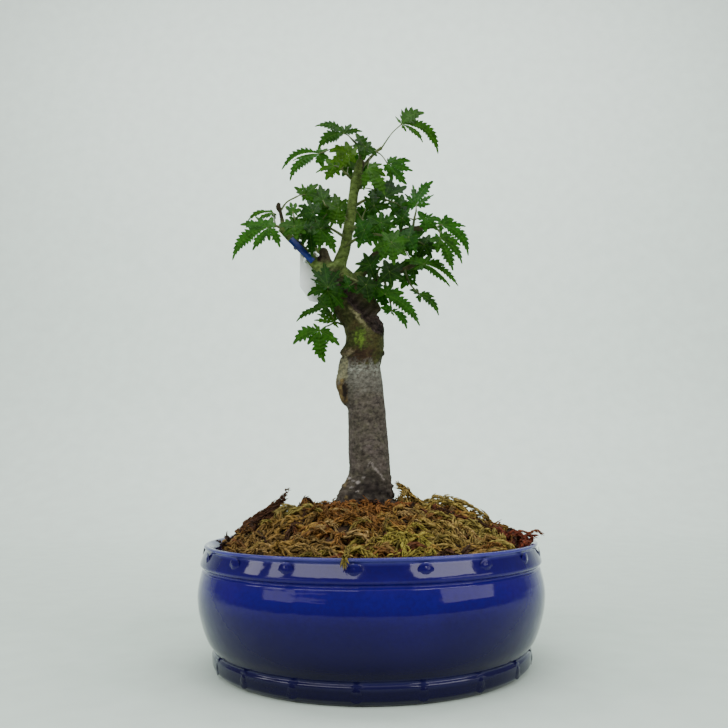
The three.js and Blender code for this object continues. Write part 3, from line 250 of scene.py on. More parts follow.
# Soil and drain net: granules of fired clay fill the pot to its lip, and a square of moulded plastic net
# lies over the hole in the pot's floor. Both keep the frame's own shapes.
# Fired clay granules, matt and rough, each about 3 mm and of its own brown
granules, tree, shader, place = finish_of("fired_clay_granules", Roughness=0.95)
grains = add(tree, "TexVoronoi", Vector=place, Scale=330.0)
tone = add(tree, "SeparateColor", Color=grains["Color"])[0]
clay = add(tree, "ValToRGB", stops=[(0.0, "#4a3020"), (0.5, "#7a5434"), (1.0, "#a07a50")], Fac=tone)[0]
lumps = add(tree, "Bump", {"invert": True}, Strength=1.0, Distance=0.0015, Height=grains["Distance"])[0]
feed(tree, shader, Base_Color=clay, Normal=lumps)
# Polyethylene net, moulded and slightly glossy, with a grain about 1 mm wide
net_plastic, tree, shader, place = finish_of("black_polyethylene_net", Roughness=0.55)
moulded = add(tree, "TexNoise", Vector=place, Scale=900.0, Detail=3.0)[0]
black = add(tree, "ValToRGB", stops=[(0.3, "#17191a"), (0.7, "#2b2f2e")], Fac=moulded)[0]
feed(tree, shader, Base_Color=black)
for node_name, material in (("soil", granules), ("drain_net", net_plastic)):
    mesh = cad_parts[node_name].data
    mesh.materials.clear()
    mesh.materials.append(material)

# Moss: dried sphagnum heaped over the soil. Each strand is a thin stem with small pointed branches round it,
# and hundreds lie across each other over a mound painted dark as shade. They are only laid on, and hold each
# other.
MOSS_REACH = 69.0        # radius of the heap, up to the pot's lip
LEFT_END, LEFT_REACH = -56, MOSS_REACH - 5       # left of LEFT_END the heap is lower and ends sooner
# Height of the heap by radius
MOSS_CROWN = np.array([
    (0, 65.6), (24, 64.8), (34, 63.0), (45, 59.3), (55, 55.5), (62, 52.9), (68, 50.9), (72, 50.0),
])
chance = np.random.default_rng(41)
# Tufts that lift or lower the heap: x, y, radius, rise
tufts = [(13.5, 1, 7, 5), (19, 3, 7, 3), (-4, -18, 12, 1.6), (-50, 3, 10, 2.5), (-45, -4, 8, 2),
         (42, 2, 9, 1.5), (-21.5, 0, 5, 1.5), (-34, -2, 6, -2.4), (34, -2, 10, 3.6), (50, -4, 8, 1.5),
         (61, -12, 8, 2), (57, -5, 8, 1.4), (-50, -18, 8, 1.5)]
STREWN_TUFTS = 110
CALM_FROM = 58           # tufts are low beyond this radius
for _ in range(STREWN_TUFTS):
    distance = MOSS_REACH * math.sqrt(chance.random())
    turn = 2 * math.pi * chance.random()
    rise = (1.4 if distance > CALM_FROM else 3.0) * (2 * chance.random() - 1.05)
    tufts.append((distance * math.cos(turn), distance * math.sin(turn), 4.5 + 4.5 * chance.random(), rise))
tufts = np.array(tufts)


def moss_height(x, y):
    """Height of the heap at x, y."""
    level = np.interp(math.hypot(x, y), MOSS_CROWN[:, 0], MOSS_CROWN[:, 1])
    near = np.clip(1 - np.hypot(x - tufts[:, 0], y - tufts[:, 1]) / tufts[:, 2], 0, 1)
    lifted = level + float(np.sum(tufts[:, 3] * near ** 2 * (3 - 2 * near)))
    return lifted - 2 * min(1, max(0, (LEFT_END - x) / 5))


# The mound lies a little under the heap's surface, and is rough
RINGS, SPOKES = 44, 132
MOUND_SUNK, MOUND_ROUGH, MOUND_REACH = 2.4, 0.9, MOSS_REACH - 1.2
points = [(0, 0, moss_height(0, 0) - MOUND_SUNK - 0.1)]
for r in range(1, RINGS + 1):
    for s in range(SPOKES):
        turn = 2 * math.pi * s / SPOKES
        x, y = (MOUND_REACH * r / RINGS * part for part in (math.cos(turn), math.sin(turn)))
        rough = MOUND_ROUGH * noise.noise(Vector((x * 0.6, y * 0.6, 3.0)))
        points.append((x, y, moss_height(x, y) - MOUND_SUNK + rough))
faces = [(0, 1 + s, 1 + (s + 1) % SPOKES) for s in range(SPOKES)] + grid(RINGS, SPOKES, flip=True, start=1)
# A matt bed under the strands, in painted shade: dark brown as the hollows between them, its crumbs about 2
# mm
shaded_moss_bed, tree, shader, place = finish_of("moss_bed_in_painted_shade", Roughness=1.0)
crumbs = add(tree, "TexNoise", Vector=place, Scale=420.0, Detail=5.0, Roughness=0.7)[0]
hollow_shade = add(tree, "ValToRGB", stops=[(0.35, "#160c04"), (0.55, "#33200c"), (0.75, "#5a3e1a")], Fac=crumbs)[0]
crumbly = add(tree, "Bump", Strength=1.0, Distance=0.002, Height=crumbs)[0]
feed(tree, shader, Base_Color=hollow_shade, Normal=crumbly)
moss_mound = piece("moss_mound", points, faces, [shaded_moss_bed])

# Dried sphagnum: thin dry leaves, matt, that let some light through; each strand has its own colour
sphagnum, tree, shader, place = finish_of("dried_sphagnum", Roughness=0.85, Specular_IOR_Level=0.25)
# Each point's colour, with the painted shade inside its strand
strand_colour = add(tree, "Attribute", {"attribute_name": "tint"})["Color"]
# Flecks about 1 mm long, the size of one leaf
fleck = add(tree, "TexNoise", Vector=place, Scale=900.0, Detail=3.0, Roughness=0.6)[0]
hollows = add(tree, "ValToRGB", stops=[(0.3, "#9a9a9a"), (0.7, "#ffffff")], Fac=fleck)[0]
tone = add(tree, "Mix", MULTIPLIED, _0=1.0, _6=strand_colour, _7=hollows)[2]
through = add(tree, "BsdfTranslucent", Color=tone)[0]
leafy = add(tree, "MixShader", _0=0.22, _1=shader.outputs[0], _2=through)[0]
feed(tree, shader, Base_Color=tone)
feed(tree, tree.nodes["Material Output"], Surface=leafy)

# Colours of the strands with how many have each, and places where one colour lies: x, y, radius, colour
SPHAGNUM = [("#a5823c", 6), ("#94743a", 5), ("#b6955a", 4), ("#865c28", 4), ("#74421e", 2), ("#94803a", 2),
            ("#4c301a", 2)]
MOSS_PATCHES = [
    (-58, -29, 14, "#3c2818"), (-47, -17, 10, "#4a2e1a"), (-62, 4, 14, "#4a3424"), (-40, -5, 5, "#553318"),
    (-37, -16, 8, "#94863e"), (-48, -34, 10, "#94743a"), (-5, -18, 14, "#a06a30"), (-12, -38, 12, "#9a6c30"),
    (10, -56, 11, "#a0903a"), (-12, -64, 6, "#938236"), (18, 0, 9, "#a98c48"), (26, -18, 6, "#6a3a20"),
    (45, -31, 12, "#a39146"), (30, -46, 14, "#a88e48"), (61, -22, 12, "#74341c"), (66, 2, 10, "#7c4226"),
    (-26, -56, 11, "#9a7c42"), (40, 40, 16, "#7c5a2c"), (-30, 44, 18, "#8a7c3e"), (4, 56, 14, "#5a3c22"),
]
# A branch's rings: how far along it, and its thickness for its length, and the angles of their points
BRANCH_RINGS = [(0, 0.1), (0.32, 0.22), (0.72, 0.16), (1, 0.02)]
BRANCH_CORNERS = (0.4, 2.5, 4.6)
tones = np.array([linear(code) for code, _ in SPHAGNUM])
shares = np.array([share for _, share in SPHAGNUM], dtype=float)
shares /= shares.sum()


def unit(vectors):
    """Vectors made one long."""
    return vectors / (np.linalg.norm(vectors, axis=-1, keepdims=True) + 1e-9)


def tube(line, sides, closed=True):
    """Points and faces of a round tube along a line of (x, y, z, radius)."""
    line = np.asarray(line, dtype=float)
    along = unit(np.gradient(line[:, :3], axis=0))
    across = np.array([0.0, 1.0, 0.0]) if abs(along[0][0]) > 0.8 else np.array([1.0, 0.0, 0.0])
    turns = np.linspace(0, 2 * math.pi, sides, endpoint=False)
    points = []
    for (*centre, radius), forward in zip(line, along):
        across = unit(across - across.dot(forward) * forward)
        side = np.cross(forward, across)
        points.append(centre + radius * (np.outer(np.cos(turns), across) + np.outer(np.sin(turns), side)))
    faces = grid(len(line), sides)
    if closed:
        faces += [tuple(range(sides - 1, -1, -1)), tuple(range((len(line) - 1) * sides, len(line) * sides))]
    return np.vstack(points), faces


STRAND_REACH = 69.5      # the line of a strand keeps within this radius
STRAND_SUNK = 1.3        # and starts this deep in the heap


def path(x, y, turn, length, spacing, rise, bend, lift):
    """A line over the heap from x, y, that arches up by rise and whose tip stands off by lift."""
    steps = max(4, int(length / spacing))
    line = []
    for i in range(steps + 1):
        s = i / steps
        away = math.hypot(x, y) / (LEFT_REACH if x < LEFT_END else STRAND_REACH)
        if away > 1:
            x, y = x / away, y / away
        arched = moss_height(x, y) - STRAND_SUNK + rise * math.sin(math.pi * min(1, 1.15 * s))
        line.append((x, y, arched + lift * s * s))
        x += length / steps * math.cos(turn + bend * s)
        y += length / steps * math.sin(turn + bend * s)
    return np.array(line)


def strand(line, girth, whorl, comb):
    """Points and faces of one strand along a line, a thin stem with branches in whorls, and its painted
    shade:
    how light each point is. comb lays the branches along the stem, from 0, standing out, to 1."""
    steps = len(line) - 1
    taper = np.linspace(1, 0.6, steps + 1)
    stem, faces = tube(np.column_stack([line, 0.24 * girth * taper]), 3, closed=False)
    # Short branches, thick in the middle and pointed, that curl over towards the tip
    along = unit(np.gradient(line, axis=0))
    side = unit(np.cross(along, (0, 0, 1.0)))
    above = np.cross(side, along)
    turns = 2 * math.pi * (np.arange(whorl)[None, :] + 0.5 * (np.arange(steps + 1)[:, None] % 2)) / whorl
    turns = (turns + 0.9 * chance.random(turns.shape)).ravel()
    forward, side, above, root = (np.repeat(part, whorl, axis=0) for part in (along, side, above, line))
    outward = np.cos(turns)[:, None] * side + np.sin(turns)[:, None] * above
    outward = outward + 0.2 * chance.normal(size=outward.shape)
    size = (girth * np.repeat(taper, whorl) * (0.65 + 0.7 * chance.random(len(turns))))[:, None]
    lean = (0.5 + 0.9 * comb + 1.0 * chance.random(len(turns)))[:, None]
    broad = (0.9 + 0.8 * chance.random(len(turns)))[:, None]
    sway = (0.4 * (1 - comb) * chance.normal(size=len(turns)))[:, None]
    across = np.cross(forward, outward)
    rings = []
    for u, thick in BRANCH_RINGS:
        reach = outward * (1.3 * u - 0.65 * u * u) * (1 - 0.5 * comb) + across * sway * u * u
        onward = forward * lean * (0.25 * u + 0.8 * u * u)
        centre = root + size * (reach + onward) - (0, 0, 0.3 * u * u) * size
        heading = outward * (1.3 - 1.3 * u) * (1 - 0.5 * comb) + forward * lean * (0.25 + 1.6 * u)
        over = unit(np.cross(across, heading))
        for corner in BRANCH_CORNERS:
            wide = broad * math.cos(corner) * across + 0.8 * math.sin(corner) * over
            rings.append(centre + size * thick * wide)
    curls = np.stack(rings, axis=1).reshape(-1, 3)
    for start in range(len(stem), len(stem) + len(curls), len(rings)):
        faces += grid(len(BRANCH_RINGS), len(BRANCH_CORNERS), start=start)
    # Painted shade: the stem and the branches' roots, inside the strand, are darker than the tips
    light = np.repeat([0.55 + 0.5 * min(1, 1.6 * u) for u, _ in BRANCH_RINGS], len(BRANCH_CORNERS))
    light = np.concatenate([np.full(len(stem), 0.55), np.tile(light, len(turns))])
    return np.vstack([stem, curls]), faces, light


# Strands laid one by one: colour, girth, points along the strand
LAID = [
    # The dark spur on the left
    ("#553318", 1.6, [(-54, -6, 59.5), (-50, -6, 62.8), (-45.6, -6, 66), (-41.4, -6, 68.4), (-38.4, -6, 71),
                      (-36.6, -6, 73.8)]),
    ("#4c2e18", 2.0, [(-52, -7, 59), (-47, -7, 62.6), (-43, -7, 65.4), (-39.8, -6.5, 68), (-38, -6.5, 70.6)]),
    ("#482a16", 2.2, [(-50, -6, 60), (-45.6, -6, 63.6), (-41.6, -6.4, 66.6), (-38.6, -7, 69.4)]),
    ("#5e3a1e", 2.1, [(-50, -8, 58.6), (-45, -8, 61.8), (-41.6, -7.5, 64.6), (-39.4, -7, 67.4)]),
    ("#6a4420", 2.0, [(-48, -9, 58.6), (-43, -9, 61), (-40, -8.5, 63.2), (-38.8, -8, 65.6)]),
    ("#5a3820", 1.9, [(-57, -5, 57.4), (-53, -5, 61), (-48.5, -5, 64), (-44.5, -5, 66.4)]),
    ("#503018", 1.9, [(-53, -3, 60), (-48, -3, 63.6), (-44, -3, 66.4), (-41, -4, 69)]),
    ("#5e3c20", 2.0, [(-59, -8, 55.6), (-55, -7, 58.6), (-50, -6, 61.4), (-45, -5, 63)]),
    # Loose ends at the lip, left and right
    ("#3c2818", 1.2, [(-54, -22, 54), (-58, -22.5, 53.4), (-61.4, -21.6, 52.4), (-63.8, -21, 53.2)]),
    ("#74341c", 2.0, [(54, -18, 55.6), (60, -19, 55.4), (65, -18, 54), (69, -16, 53.8)]),
    ("#84431f", 1.5, [(60, -18, 56), (66, -17, 55), (70, -15, 55.8), (73, -13, 54.6)]),
    # The hump right of the trunk
    ("#a98c48", 1.9, [(24, 1, 66), (19.6, 0, 70.2), (16, -1, 74), (12.8, -2, 76)]),
    ("#b0944c", 1.9, [(25, -1, 65), (21, -2, 68.4), (16.8, -3, 72), (13.2, -4, 74)]),
    ("#9c8040", 1.9, [(22, 4, 66), (19, 3, 70.4), (16, 2, 74), (13.2, 1, 75.6)]),
    ("#b49a54", 1.9, [(21, -5, 62.5), (18, -5, 66), (16, -5, 69.4), (14.6, -4, 71.4)]),
    ("#a48848", 1.9, [(17, -8, 60.6), (16, -7, 64.2), (15, -6, 67.4), (14, -5, 69.8)]),
    # The ridge that runs right from it
    ("#a99450", 1.8, [(24, -3, 68), (29, -4, 69.6), (34, -4, 69.8), (39, -4, 68.8), (43, -4, 67)]),
    ("#9c8a48", 1.8, [(23, -6, 66.4), (28, -7, 68.2), (33, -7, 68.6), (38, -7, 67.4)]),
    ("#b09a4a", 2.1, [(46, -8, 61), (40, -8, 65), (34, -7, 68), (28, -7, 67.6), (25, -10, 65)]),
    ("#a08a48", 2.1, [(52, -6, 60), (47, -6, 64), (41, -5, 67.4), (35, -4, 68.6)]),
    # Yellow strands in front, one of them down over the lip
    ("#a59a3c", 2.2, [(8, -49, 57.4), (5, -56, 56.6), (2, -62, 54), (1, -66, 52)]),
    ("#aba040", 2.2, [(10, -49, 57.4), (11, -57, 57), (12, -63, 54.2), (12, -66, 52.2)]),
    ("#a3963c", 2.2, [(12, -48, 57.4), (17, -54, 56.8), (20.6, -59.6, 54.4), (22, -63.4, 52.4)]),
    ("#8a7a34", 1.9, [(-8, -60, 54.6), (-9, -65.6, 53.4), (-9.4, -70, 52.2), (-9.6, -73, 51.4),
                      (-9.6, -74.4, 49.8)]),
    # Curled strands left of the trunk
    ("#9c8c4c", 2.6, [(-28, -12, 62), (-33, -14, 66.4), (-38, -15, 65.6), (-39, -17, 62.6),
                      (-35, -19, 61.4)]),
    ("#a09048", 2.4, [(-20, -20, 64), (-25, -22, 66.6), (-31, -22, 66), (-34, -21, 63)]),
]
# The rust brown clump in front of the trunk: strands that fall from its foot like combed hair, each through
# points at (distance from the trunk, swing, height)
RUST = ("#8c5026", "#9e6530", "#7a4420")
RUST_FALL = [(13.6, 0, 63.6), (16.6, 0.05, 66.4), (20.5, 0.12, 66.2), (26, 0.25, 62.6)]
RUST_STRANDS = 12
RUST_FIRST, RUST_STEP = -158, 12.4       # turn of the first, and on to each next one, in degrees
for k in range(RUST_STRANDS):
    turn = math.radians(RUST_FIRST + RUST_STEP * k)
    fall = []
    for out, swing, level in RUST_FALL:
        fall.append((out * math.cos(turn + swing), out * math.sin(turn + swing), level))
    LAID.append((RUST[k % 3], 2.2, fall))

JITTER, LAID_WHORL, LAID_COMB = 0.28, 5, 0.6
CLEARING = 156           # square of the radius that the trunk's foot takes up
EDGE_FROM = 54           # strands that start beyond this radius follow the pot's edge
STRAND_LIMIT = 71        # branches keep within this radius, but for those of strands laid one by one
GOLDEN_RATIO = 0.618034
# Height of the pot's lip by radius
LIP_RADII = [67.5, 68.8, 70, 71, 72.6, 73.2, 74]
LIP_HEIGHTS = [45, 49.2, 50.7, 51.4, 51.4, 50, 44]


def shaded(tint, light):
    """A strand's colour on each of its points, darkened by its painted shade."""
    return tint * np.column_stack([light, light, light, np.ones(len(light))])


def moss_sector(name, low, high, count):
    """One piece of count strands between two turns in degrees, with those laid one by one there."""
    strands, colours = [], []
    for code, girth, stations in LAID:
        if (math.degrees(math.atan2(stations[0][1], stations[0][0])) - low) % 360 < high - low:
            line = smooth_line(stations, 4)
            line[1:-1] += JITTER * chance.normal(size=(len(line) - 2, 3))
            points, faces, light = strand(line, girth, LAID_WHORL, LAID_COMB)
            strands.append((points, faces))
            colours.append(shaded(np.array(linear(code)), light))
    for k in range(count):
        # Spread evenly by area, each a golden ratio of the sector on from the last
        distance = math.sqrt(CLEARING + (MOSS_REACH ** 2 - CLEARING) * (k + chance.random()) / count)
        turn = math.radians(low + (high - low) * ((GOLDEN_RATIO * k + 0.08 * chance.random()) % 1))
        x, y = distance * math.cos(turn), distance * math.sin(turn)
        if x < LEFT_END and distance > LEFT_REACH:
            continue
        heading = 2 * math.pi * chance.random()
        if distance > EDGE_FROM:
            heading = turn + math.pi / 2 * (1 if chance.random() < 0.5 else -1) + 0.5 * chance.normal()
        # A third of the strands are coarse, with fewer and longer branches
        coarse = chance.random() < 0.35
        length, girth = 8 + 12 * chance.random(), (2.2 if coarse else 1.5) + 0.9 * chance.random()
        rise = 0.6 + 4.0 * chance.random() ** 1.5
        bend = (1.0 if distance > EDGE_FROM else 1.9) * chance.normal()
        line = path(x, y, heading, length, 2.0 if coarse else 1.3, rise, bend, max(0, 1.4 * chance.normal()))
        points, faces, light = strand(line, girth, 3 if coarse else 4, 0.7 * chance.random())
        tint = tones[int(chance.choice(len(tones), p=shares))]
        for px, py, radius, code in MOSS_PATCHES:
            if math.hypot(x - px, y - py) < radius * (0.6 + 0.5 * chance.random()):
                tint = np.array(linear(code))
        tint = tint * (0.65 + 0.5 * chance.random())
        tint[3] = 1
        points[:, :2] *= np.minimum(1, STRAND_LIMIT / np.hypot(points[:, 0], points[:, 1]))[:, None]
        strands.append((points, faces))
        colours.append(shaded(tint, light))
    points, faces = gathered(strands)
    # Nothing sinks into the pot's lip
    lip = np.interp(np.hypot(points[:, 0], points[:, 1]), LIP_RADII, LIP_HEIGHTS)
    points[:, 2] = np.maximum(points[:, 2], lip + 0.1)
    return piece(name, points, faces, [sphagnum], {"tint": np.vstack(colours)})


# A quarter of the heap each, with more strands in the two in front
sectors = []
for k, count in enumerate((225, 230, 170, 170)):
    low = 180 + 90 * k
    sectors.append(moss_sector(f"moss_strands_{k + 1}", low, low + 90, count))
for made in [moss_mound, *sectors]:
    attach(made, "root")
    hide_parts("moss")

# Trunk and branches: living wood of one maple, grown, cut back and healed. Its limbs are swept from their
# stations, grown together in one skin, and the skin is raised into bark, callus and the cut wood of a wound.
# Stations from the root up: x, y, height, radius, and how far the healed scar swells the left side
BOLE = [
    (-0.5, 0, 24, 8.5, 0), (-1, 0, 44, 11, 0), (-1.5, 0, 60, 14.2, 0), (-1.7, 0, 66, 13.8, 0),
    (-1.6, 0, 70, 12.7, 0), (-0.9, 0, 73, 11.2, 0), (-0.4, 0, 75.6, 10.4, 0), (0, 0, 77.9, 9.8, 0),
    (0.2, 0, 80.6, 9.5, 0), (0.1, 0, 85.5, 9.3, 0), (-0.5, 0, 95, 9.0, 0), (-1.2, 0, 108, 8.6, 0),
    (-1.3, 0, 110.4, 8.4, 0.3), (-1.4, 0, 112.4, 8.3, 2.2), (-1.5, 0, 114.5, 8.2, 3.7),
    (-1.6, 0, 118, 8.1, 4.7), (-1.8, 0, 122, 7.9, 5.7), (-2.0, 0, 126, 7.7, 5.3), (-2.2, 0, 129.6, 7.5, 4.2),
    (-1.9, 0, 131.8, 7.8, 3.0), (-1.7, 0, 133.4, 8.1, 2.2), (-1.6, 0, 135.4, 8.5, 3.0),
    (-1.5, 0, 137.4, 8.7, 1.7), (-1.4, 0, 139.5, 8.8, 0.6), (-1.3, 0, 143.5, 8.8, 0.2),
    (-1.5, 0, 147, 9.1, 0.4),
    (-2.2, 0, 151.5, 9.6, 0), (-5.5, 0.3, 157, 10, 0), (-9, 0.5, 161.5, 10, 0), (-12.6, 0.5, 166.5, 9.2, 0),
    (-16, 0.3, 172, 7.9, 0), (-18, 0, 177, 6, 0),
]
# Stations of each limb from inside the wood outwards: x, y, height, radius
BRANCHES = {
    "stub": [(-17.6, 0, 171, 3.8), (-19.4, 0, 178, 3.0), (-20.3, 0, 182, 2.5), (-20.9, 0, 185.2, 2.0),
             (-21, 0, 186.3, 1.0)],
    "leader": [(-14.5, 0, 173, 3.6), (-12.7, 0, 180, 3.2), (-10.6, 0, 186, 2.7), (-9.2, 0, 194, 2.6),
               (-7.4, 0, 204, 2.5), (-6.3, 0, 213, 2.3), (-5, 0, 218.5, 3), (-4.2, 0, 223, 2.4),
               (-2.6, 0, 229.5, 2)],
    "left": [(-19, 0, 172.5, 4), (-25, 0.6, 179.3, 2.7), (-30.5, 1.4, 185.5, 2.1), (-36.5, 1.6, 191.6, 1.9),
             (-41.4, 1, 196.4, 1.5)],
    "left_twig": [(-40.2, 1.1, 195.4, 1.3), (-40.5, 1, 200.4, 1.05), (-41.4, 0.8, 204.4, 0.95),
                  (-42.3, 0.6, 206.6, 1.35), (-42, 0.5, 209, 0.8)],
    "right": [(-9, 2, 167, 3.6), (-3, 4, 175, 2.7), (4, 5, 183.5, 2.4), (11, 4, 190.5, 2.2),
              (17.5, 2.5, 194.5, 1.8), (24, 1, 195.6, 1.4), (30, 0, 196, 1.1)],
    "lower_right": [(-8, 4, 163, 3.4), (-1, 4, 168, 2.3), (6, 3, 171.3, 1.8), (12.5, 1.5, 173.6, 1.5),
                    (18.5, 0.5, 176, 1.2), (23, 0, 178, 1)],
    "back": [(-9, 0.5, 191, 1.8), (-8.2, 7, 196, 1.4), (-6, 14, 201, 1.1), (-3, 20, 204.5, 0.9)],
    "back_right": [(5, 5, 184.5, 1.9), (10, 11.5, 188, 1.4), (15, 18, 190.5, 1.1)],
    "back_left": [(-14.5, 4, 171, 2.6), (-17, 11, 180, 1.8), (-21, 17, 187, 1.4), (-26, 21, 192.5, 1.1)],
}
BOLE_SIDES, LIMB_SIDES = 56, 20
ROOTS = 5
FLARE_LEVEL, FLARE_REACH = 60, 20        # the roots swell most at this height, and none this far from it
SKIN = 0.55       # size of the voxels that limbs grow together in
bole = smooth_line(BOLE, 6)
bole_points, bole_faces = tube(bole[:, :4], BOLE_SIDES)
turns = np.linspace(0, 2 * math.pi, BOLE_SIDES, endpoint=False)
for i, (_, _, height, radius, scar) in enumerate(bole):
    ring = slice(i * BOLE_SIDES, (i + 1) * BOLE_SIDES)
    centre = bole[i, :3]
    flare = max(0, 1 - abs(height - FLARE_LEVEL) / FLARE_REACH)
    swell = (0.11 * flare * radius * np.cos(ROOTS * turns + 0.6) + 0.2 * np.cos(3 * turns + height / 9)
             + max(scar, 0) * np.maximum(0, -np.cos(turns)) ** 6)
    bole_points[ring] = centre + (bole_points[ring] - centre) * (1 + swell / radius)[:, None]
limbs = [(bole_points, bole_faces)]
for stations in BRANCHES.values():
    limbs.append(tube(smooth_line(stations, 5), LIMB_SIDES))
points, faces = gathered(limbs)
rough_wood = piece("rough_wood", points, faces, [])
remesh = rough_wood.modifiers.new("remesh", "REMESH")
remesh.mode = "VOXEL"
remesh.voxel_size = SKIN * MM
relax = rough_wood.modifiers.new("relax", "SMOOTH")
relax.factor = 0.5
relax.iterations = 3
wood_mesh = bpy.data.meshes.new_from_object(rough_wood.evaluated_get(bpy.context.evaluated_depsgraph_get()))
bpy.data.objects.remove(rough_wood)
count = len(wood_mesh.vertices)


def of_vertices(key):
    """The wood's vertices' places or normals, as rows of three."""
    values = np.empty(count * 3, dtype=np.float32)
    wood_mesh.vertices.foreach_get(key, values)
    return values.reshape(-1, 3).astype(float)


points = of_vertices("co") / MM
normals = of_vertices("normal")

# The wound: a plane takes off the right shoulder of the trunk, with a ragged face and callus round its edge.
# It stays between two heights, within a radius of its middle and off the branches.
WOUND_POINT = np.array([-3.2, -7.2, 152.8])
WOUND_FACING = np.array([0.68, -0.5, 0.55]) / np.linalg.norm([0.68, -0.5, 0.55])
WOUND_FROM, WOUND_TO, WOUND_MIDDLE, WOUND_REACH = 140, 176, -8, 16
axis_x, axis_y, bole_reach = (np.interp(points[:, 2], bole[:, 2], bole[:, column]) for column in (0, 1, 3))
from_axis = np.hypot(points[:, 0] - axis_x, points[:, 1] - axis_y)
near_wound = ((points[:, 2] > WOUND_FROM) & (points[:, 2] < WOUND_TO)
              & (np.hypot(points[:, 0] - WOUND_MIDDLE, points[:, 1]) < WOUND_REACH))
of_bole = near_wound & (from_axis < bole_reach + 1.2)
ragged = np.array([noise.noise(Vector(spot) * 0.55) + 0.5 * noise.noise(Vector(spot) * 1.6)
                   for spot in points])
beyond = (points - WOUND_POINT) @ WOUND_FACING
beyond = beyond + 0.9 * ragged
cut = of_bole & (beyond > 0)
points[cut] -= np.outer(beyond[cut] + 0.6 * np.clip(beyond[cut] / 6, 0, 1), WOUND_FACING)
callus = np.where(of_bole & (beyond <= 0.2), np.exp(-((beyond + 1.0) / 0.8) ** 2), 0)
wound_share = np.clip(np.where(of_bole, (beyond + 0.1) / 0.5, 0), 0, 1)

# Short dark pores that lie across the trunk: turn round it in degrees, height, half length
PORES = [(-105, 88.7, 1.8), (-72, 92.4, 1.3), (-118, 101, 1.0), (-80, 104, 1.4), (-97, 114.5, 1.2),
         (-70, 119, 1.5)]
STREWN_PORES = 45
PORE_RADIUS, PORE_HALF_HEIGHT = 8.5, 0.33
chance = np.random.default_rng(5)
for _ in range(STREWN_PORES):
    PORES.append((360 * chance.random(), 82 + 64 * chance.random(), 0.4 + 0.9 * chance.random()))
# Three sizes of unevenness: patches about 6 mm and 2.4 mm wide, and a grain of 1.1 mm and finer
broad, medium, fine = np.zeros(count), np.zeros(count), np.zeros(count)
for i, spot in enumerate(points):
    here = Vector(spot)
    broad[i] = noise.noise(here * 0.16)
    medium[i] = noise.noise(here * 0.42)
    fine[i] = noise.fractal(here * 0.9, 0.9, 2.1, 4)
x, y, z = points.T
on_bole = (from_axis < bole_reach + 6) & (z < 170)
pore = np.zeros(count)
round_turn = np.arctan2(y - axis_y, x - axis_x)
for turn, height, half in PORES:
    arc = PORE_RADIUS * np.abs((round_turn - math.radians(turn) + math.pi) % (2 * math.pi) - math.pi)
    level = np.exp(-((z - height + 0.2 * fine) / PORE_HALF_HEIGHT) ** 2)
    pore = np.maximum(pore, np.clip(1.3 * (1 - arc / half), 0, 1) * level)
pore = pore * on_bole
# The two front roots part in an upturned V, and the hollow under it is sunk in and darkened with painted
# shade
FORK_X, FORK_TOP = 0.3, 85
fork = FORK_TOP - np.where(x < FORK_X, (FORK_X - x) / 0.97, (x - FORK_X) / 0.84) + 1.2 * medium + 0.6 * fine
hollow = np.clip((fork - z) / 5, 0, 1) * np.clip(-y / 5, 0, 1) * (z < FORK_TOP + 1)
flare = np.clip((82 - z) / 8, 0, 1)
# A healed knob on the right: x, height, radius, rise
KNOB_X, KNOB_LEVEL, KNOB_RADIUS, KNOB_RISE = 7.6, 135.2, 1.7, 1.6
relief = np.where(on_bole, 0.25 * broad + 0.15 * fine - 0.3 * pore - 0.9 * hollow * (0.6 + medium)
                  + flare * (1.5 * medium + 0.5 * fine), 0.1 * broad + 0.07 * fine)
relief = relief * (1 - wound_share) + wound_share * (0.7 * medium + 0.6 * fine - 0.5)
relief += 0.8 * callus * np.clip((2 - x) / 8, 0, 1)
relief += KNOB_RISE * np.clip(1 - np.hypot(x - KNOB_X, z - KNOB_LEVEL) / KNOB_RADIUS, 0, 1)
points += normals * relief[:, None]
wood_mesh.vertices.foreach_set("co", (points * MM).astype(np.float32).ravel())

# What grows where, painted on point by point
tints = np.tile(linear("#514b41"), (count, 1))


def paint(mask, code):
    """Lay a colour over the wood where mask is up to 1."""
    tints[:] += np.clip(mask, 0, 1)[:, None] * (np.array(linear(code)) - tints)


def blot(px, pz, wide, high, ragged=0.5):
    """A ragged spot on the front of the wood."""
    return (1.2 - np.hypot((x - px) / wide, (z - pz) / high) + ragged * fine) * 2 * (y < 2)


def band(level, half, sway):
    """A soft level band round the wood, that sways with the patches."""
    return 1 - np.abs(z - level + sway * medium) / half


# Old grey bark in patches, with a paler weathered band under the line where the greener bark begins
BARK_LINE, YOUNG_FROM = 130.6, 171       # heights where green brown bark begins, and the green of young wood
paint(0.9 * (broad + 0.15), "#645955")
paint(0.9 * medium, "#40392f")
paint(-0.9 * medium, "#585642")
paint((fine - 0.15) * 0.5, "#746c63")
paint((0.1 - fine) * 0.5, "#352e28")
paint(np.clip(band(122.5, 8.5, 3), 0, 1) * (1.2 + fine) * on_bole, "#68655b")
paint(np.clip(band(128, 5, 3), 0, 1) * 1.5 * (fine + 0.4) * on_bole, "#8b8d80")
# Green brown bark over it, then the green of young wood, and painted shade, brown, on the branches to the
# right where they run back into the crown's shade
above = np.clip((z - BARK_LINE + 0.15 * x + 3.2 * medium + 2.4 * fine) / 1.2, 0, 1)
young = (z > YOUNG_FROM) | ~on_bole
paint(above, "#353914")
paint(above * (0.2 + 1.2 * broad), "#40371c")
paint(above * (medium - 0.05) * 1.6, "#4e4f2b")
paint(above * (fine - 0.2) * 1.0, "#5e5f3a")
paint(young.astype(float), "#5a6e33")
paint(young * (0.1 + medium), "#758a4b")
# Painted shade: the branches to the right are darkened brown where they run back into the crown's shade
paint(((x > -2) & (z > 160) & ~on_bole & (y > -2)).astype(float) * 0.8, "#3a2e22")
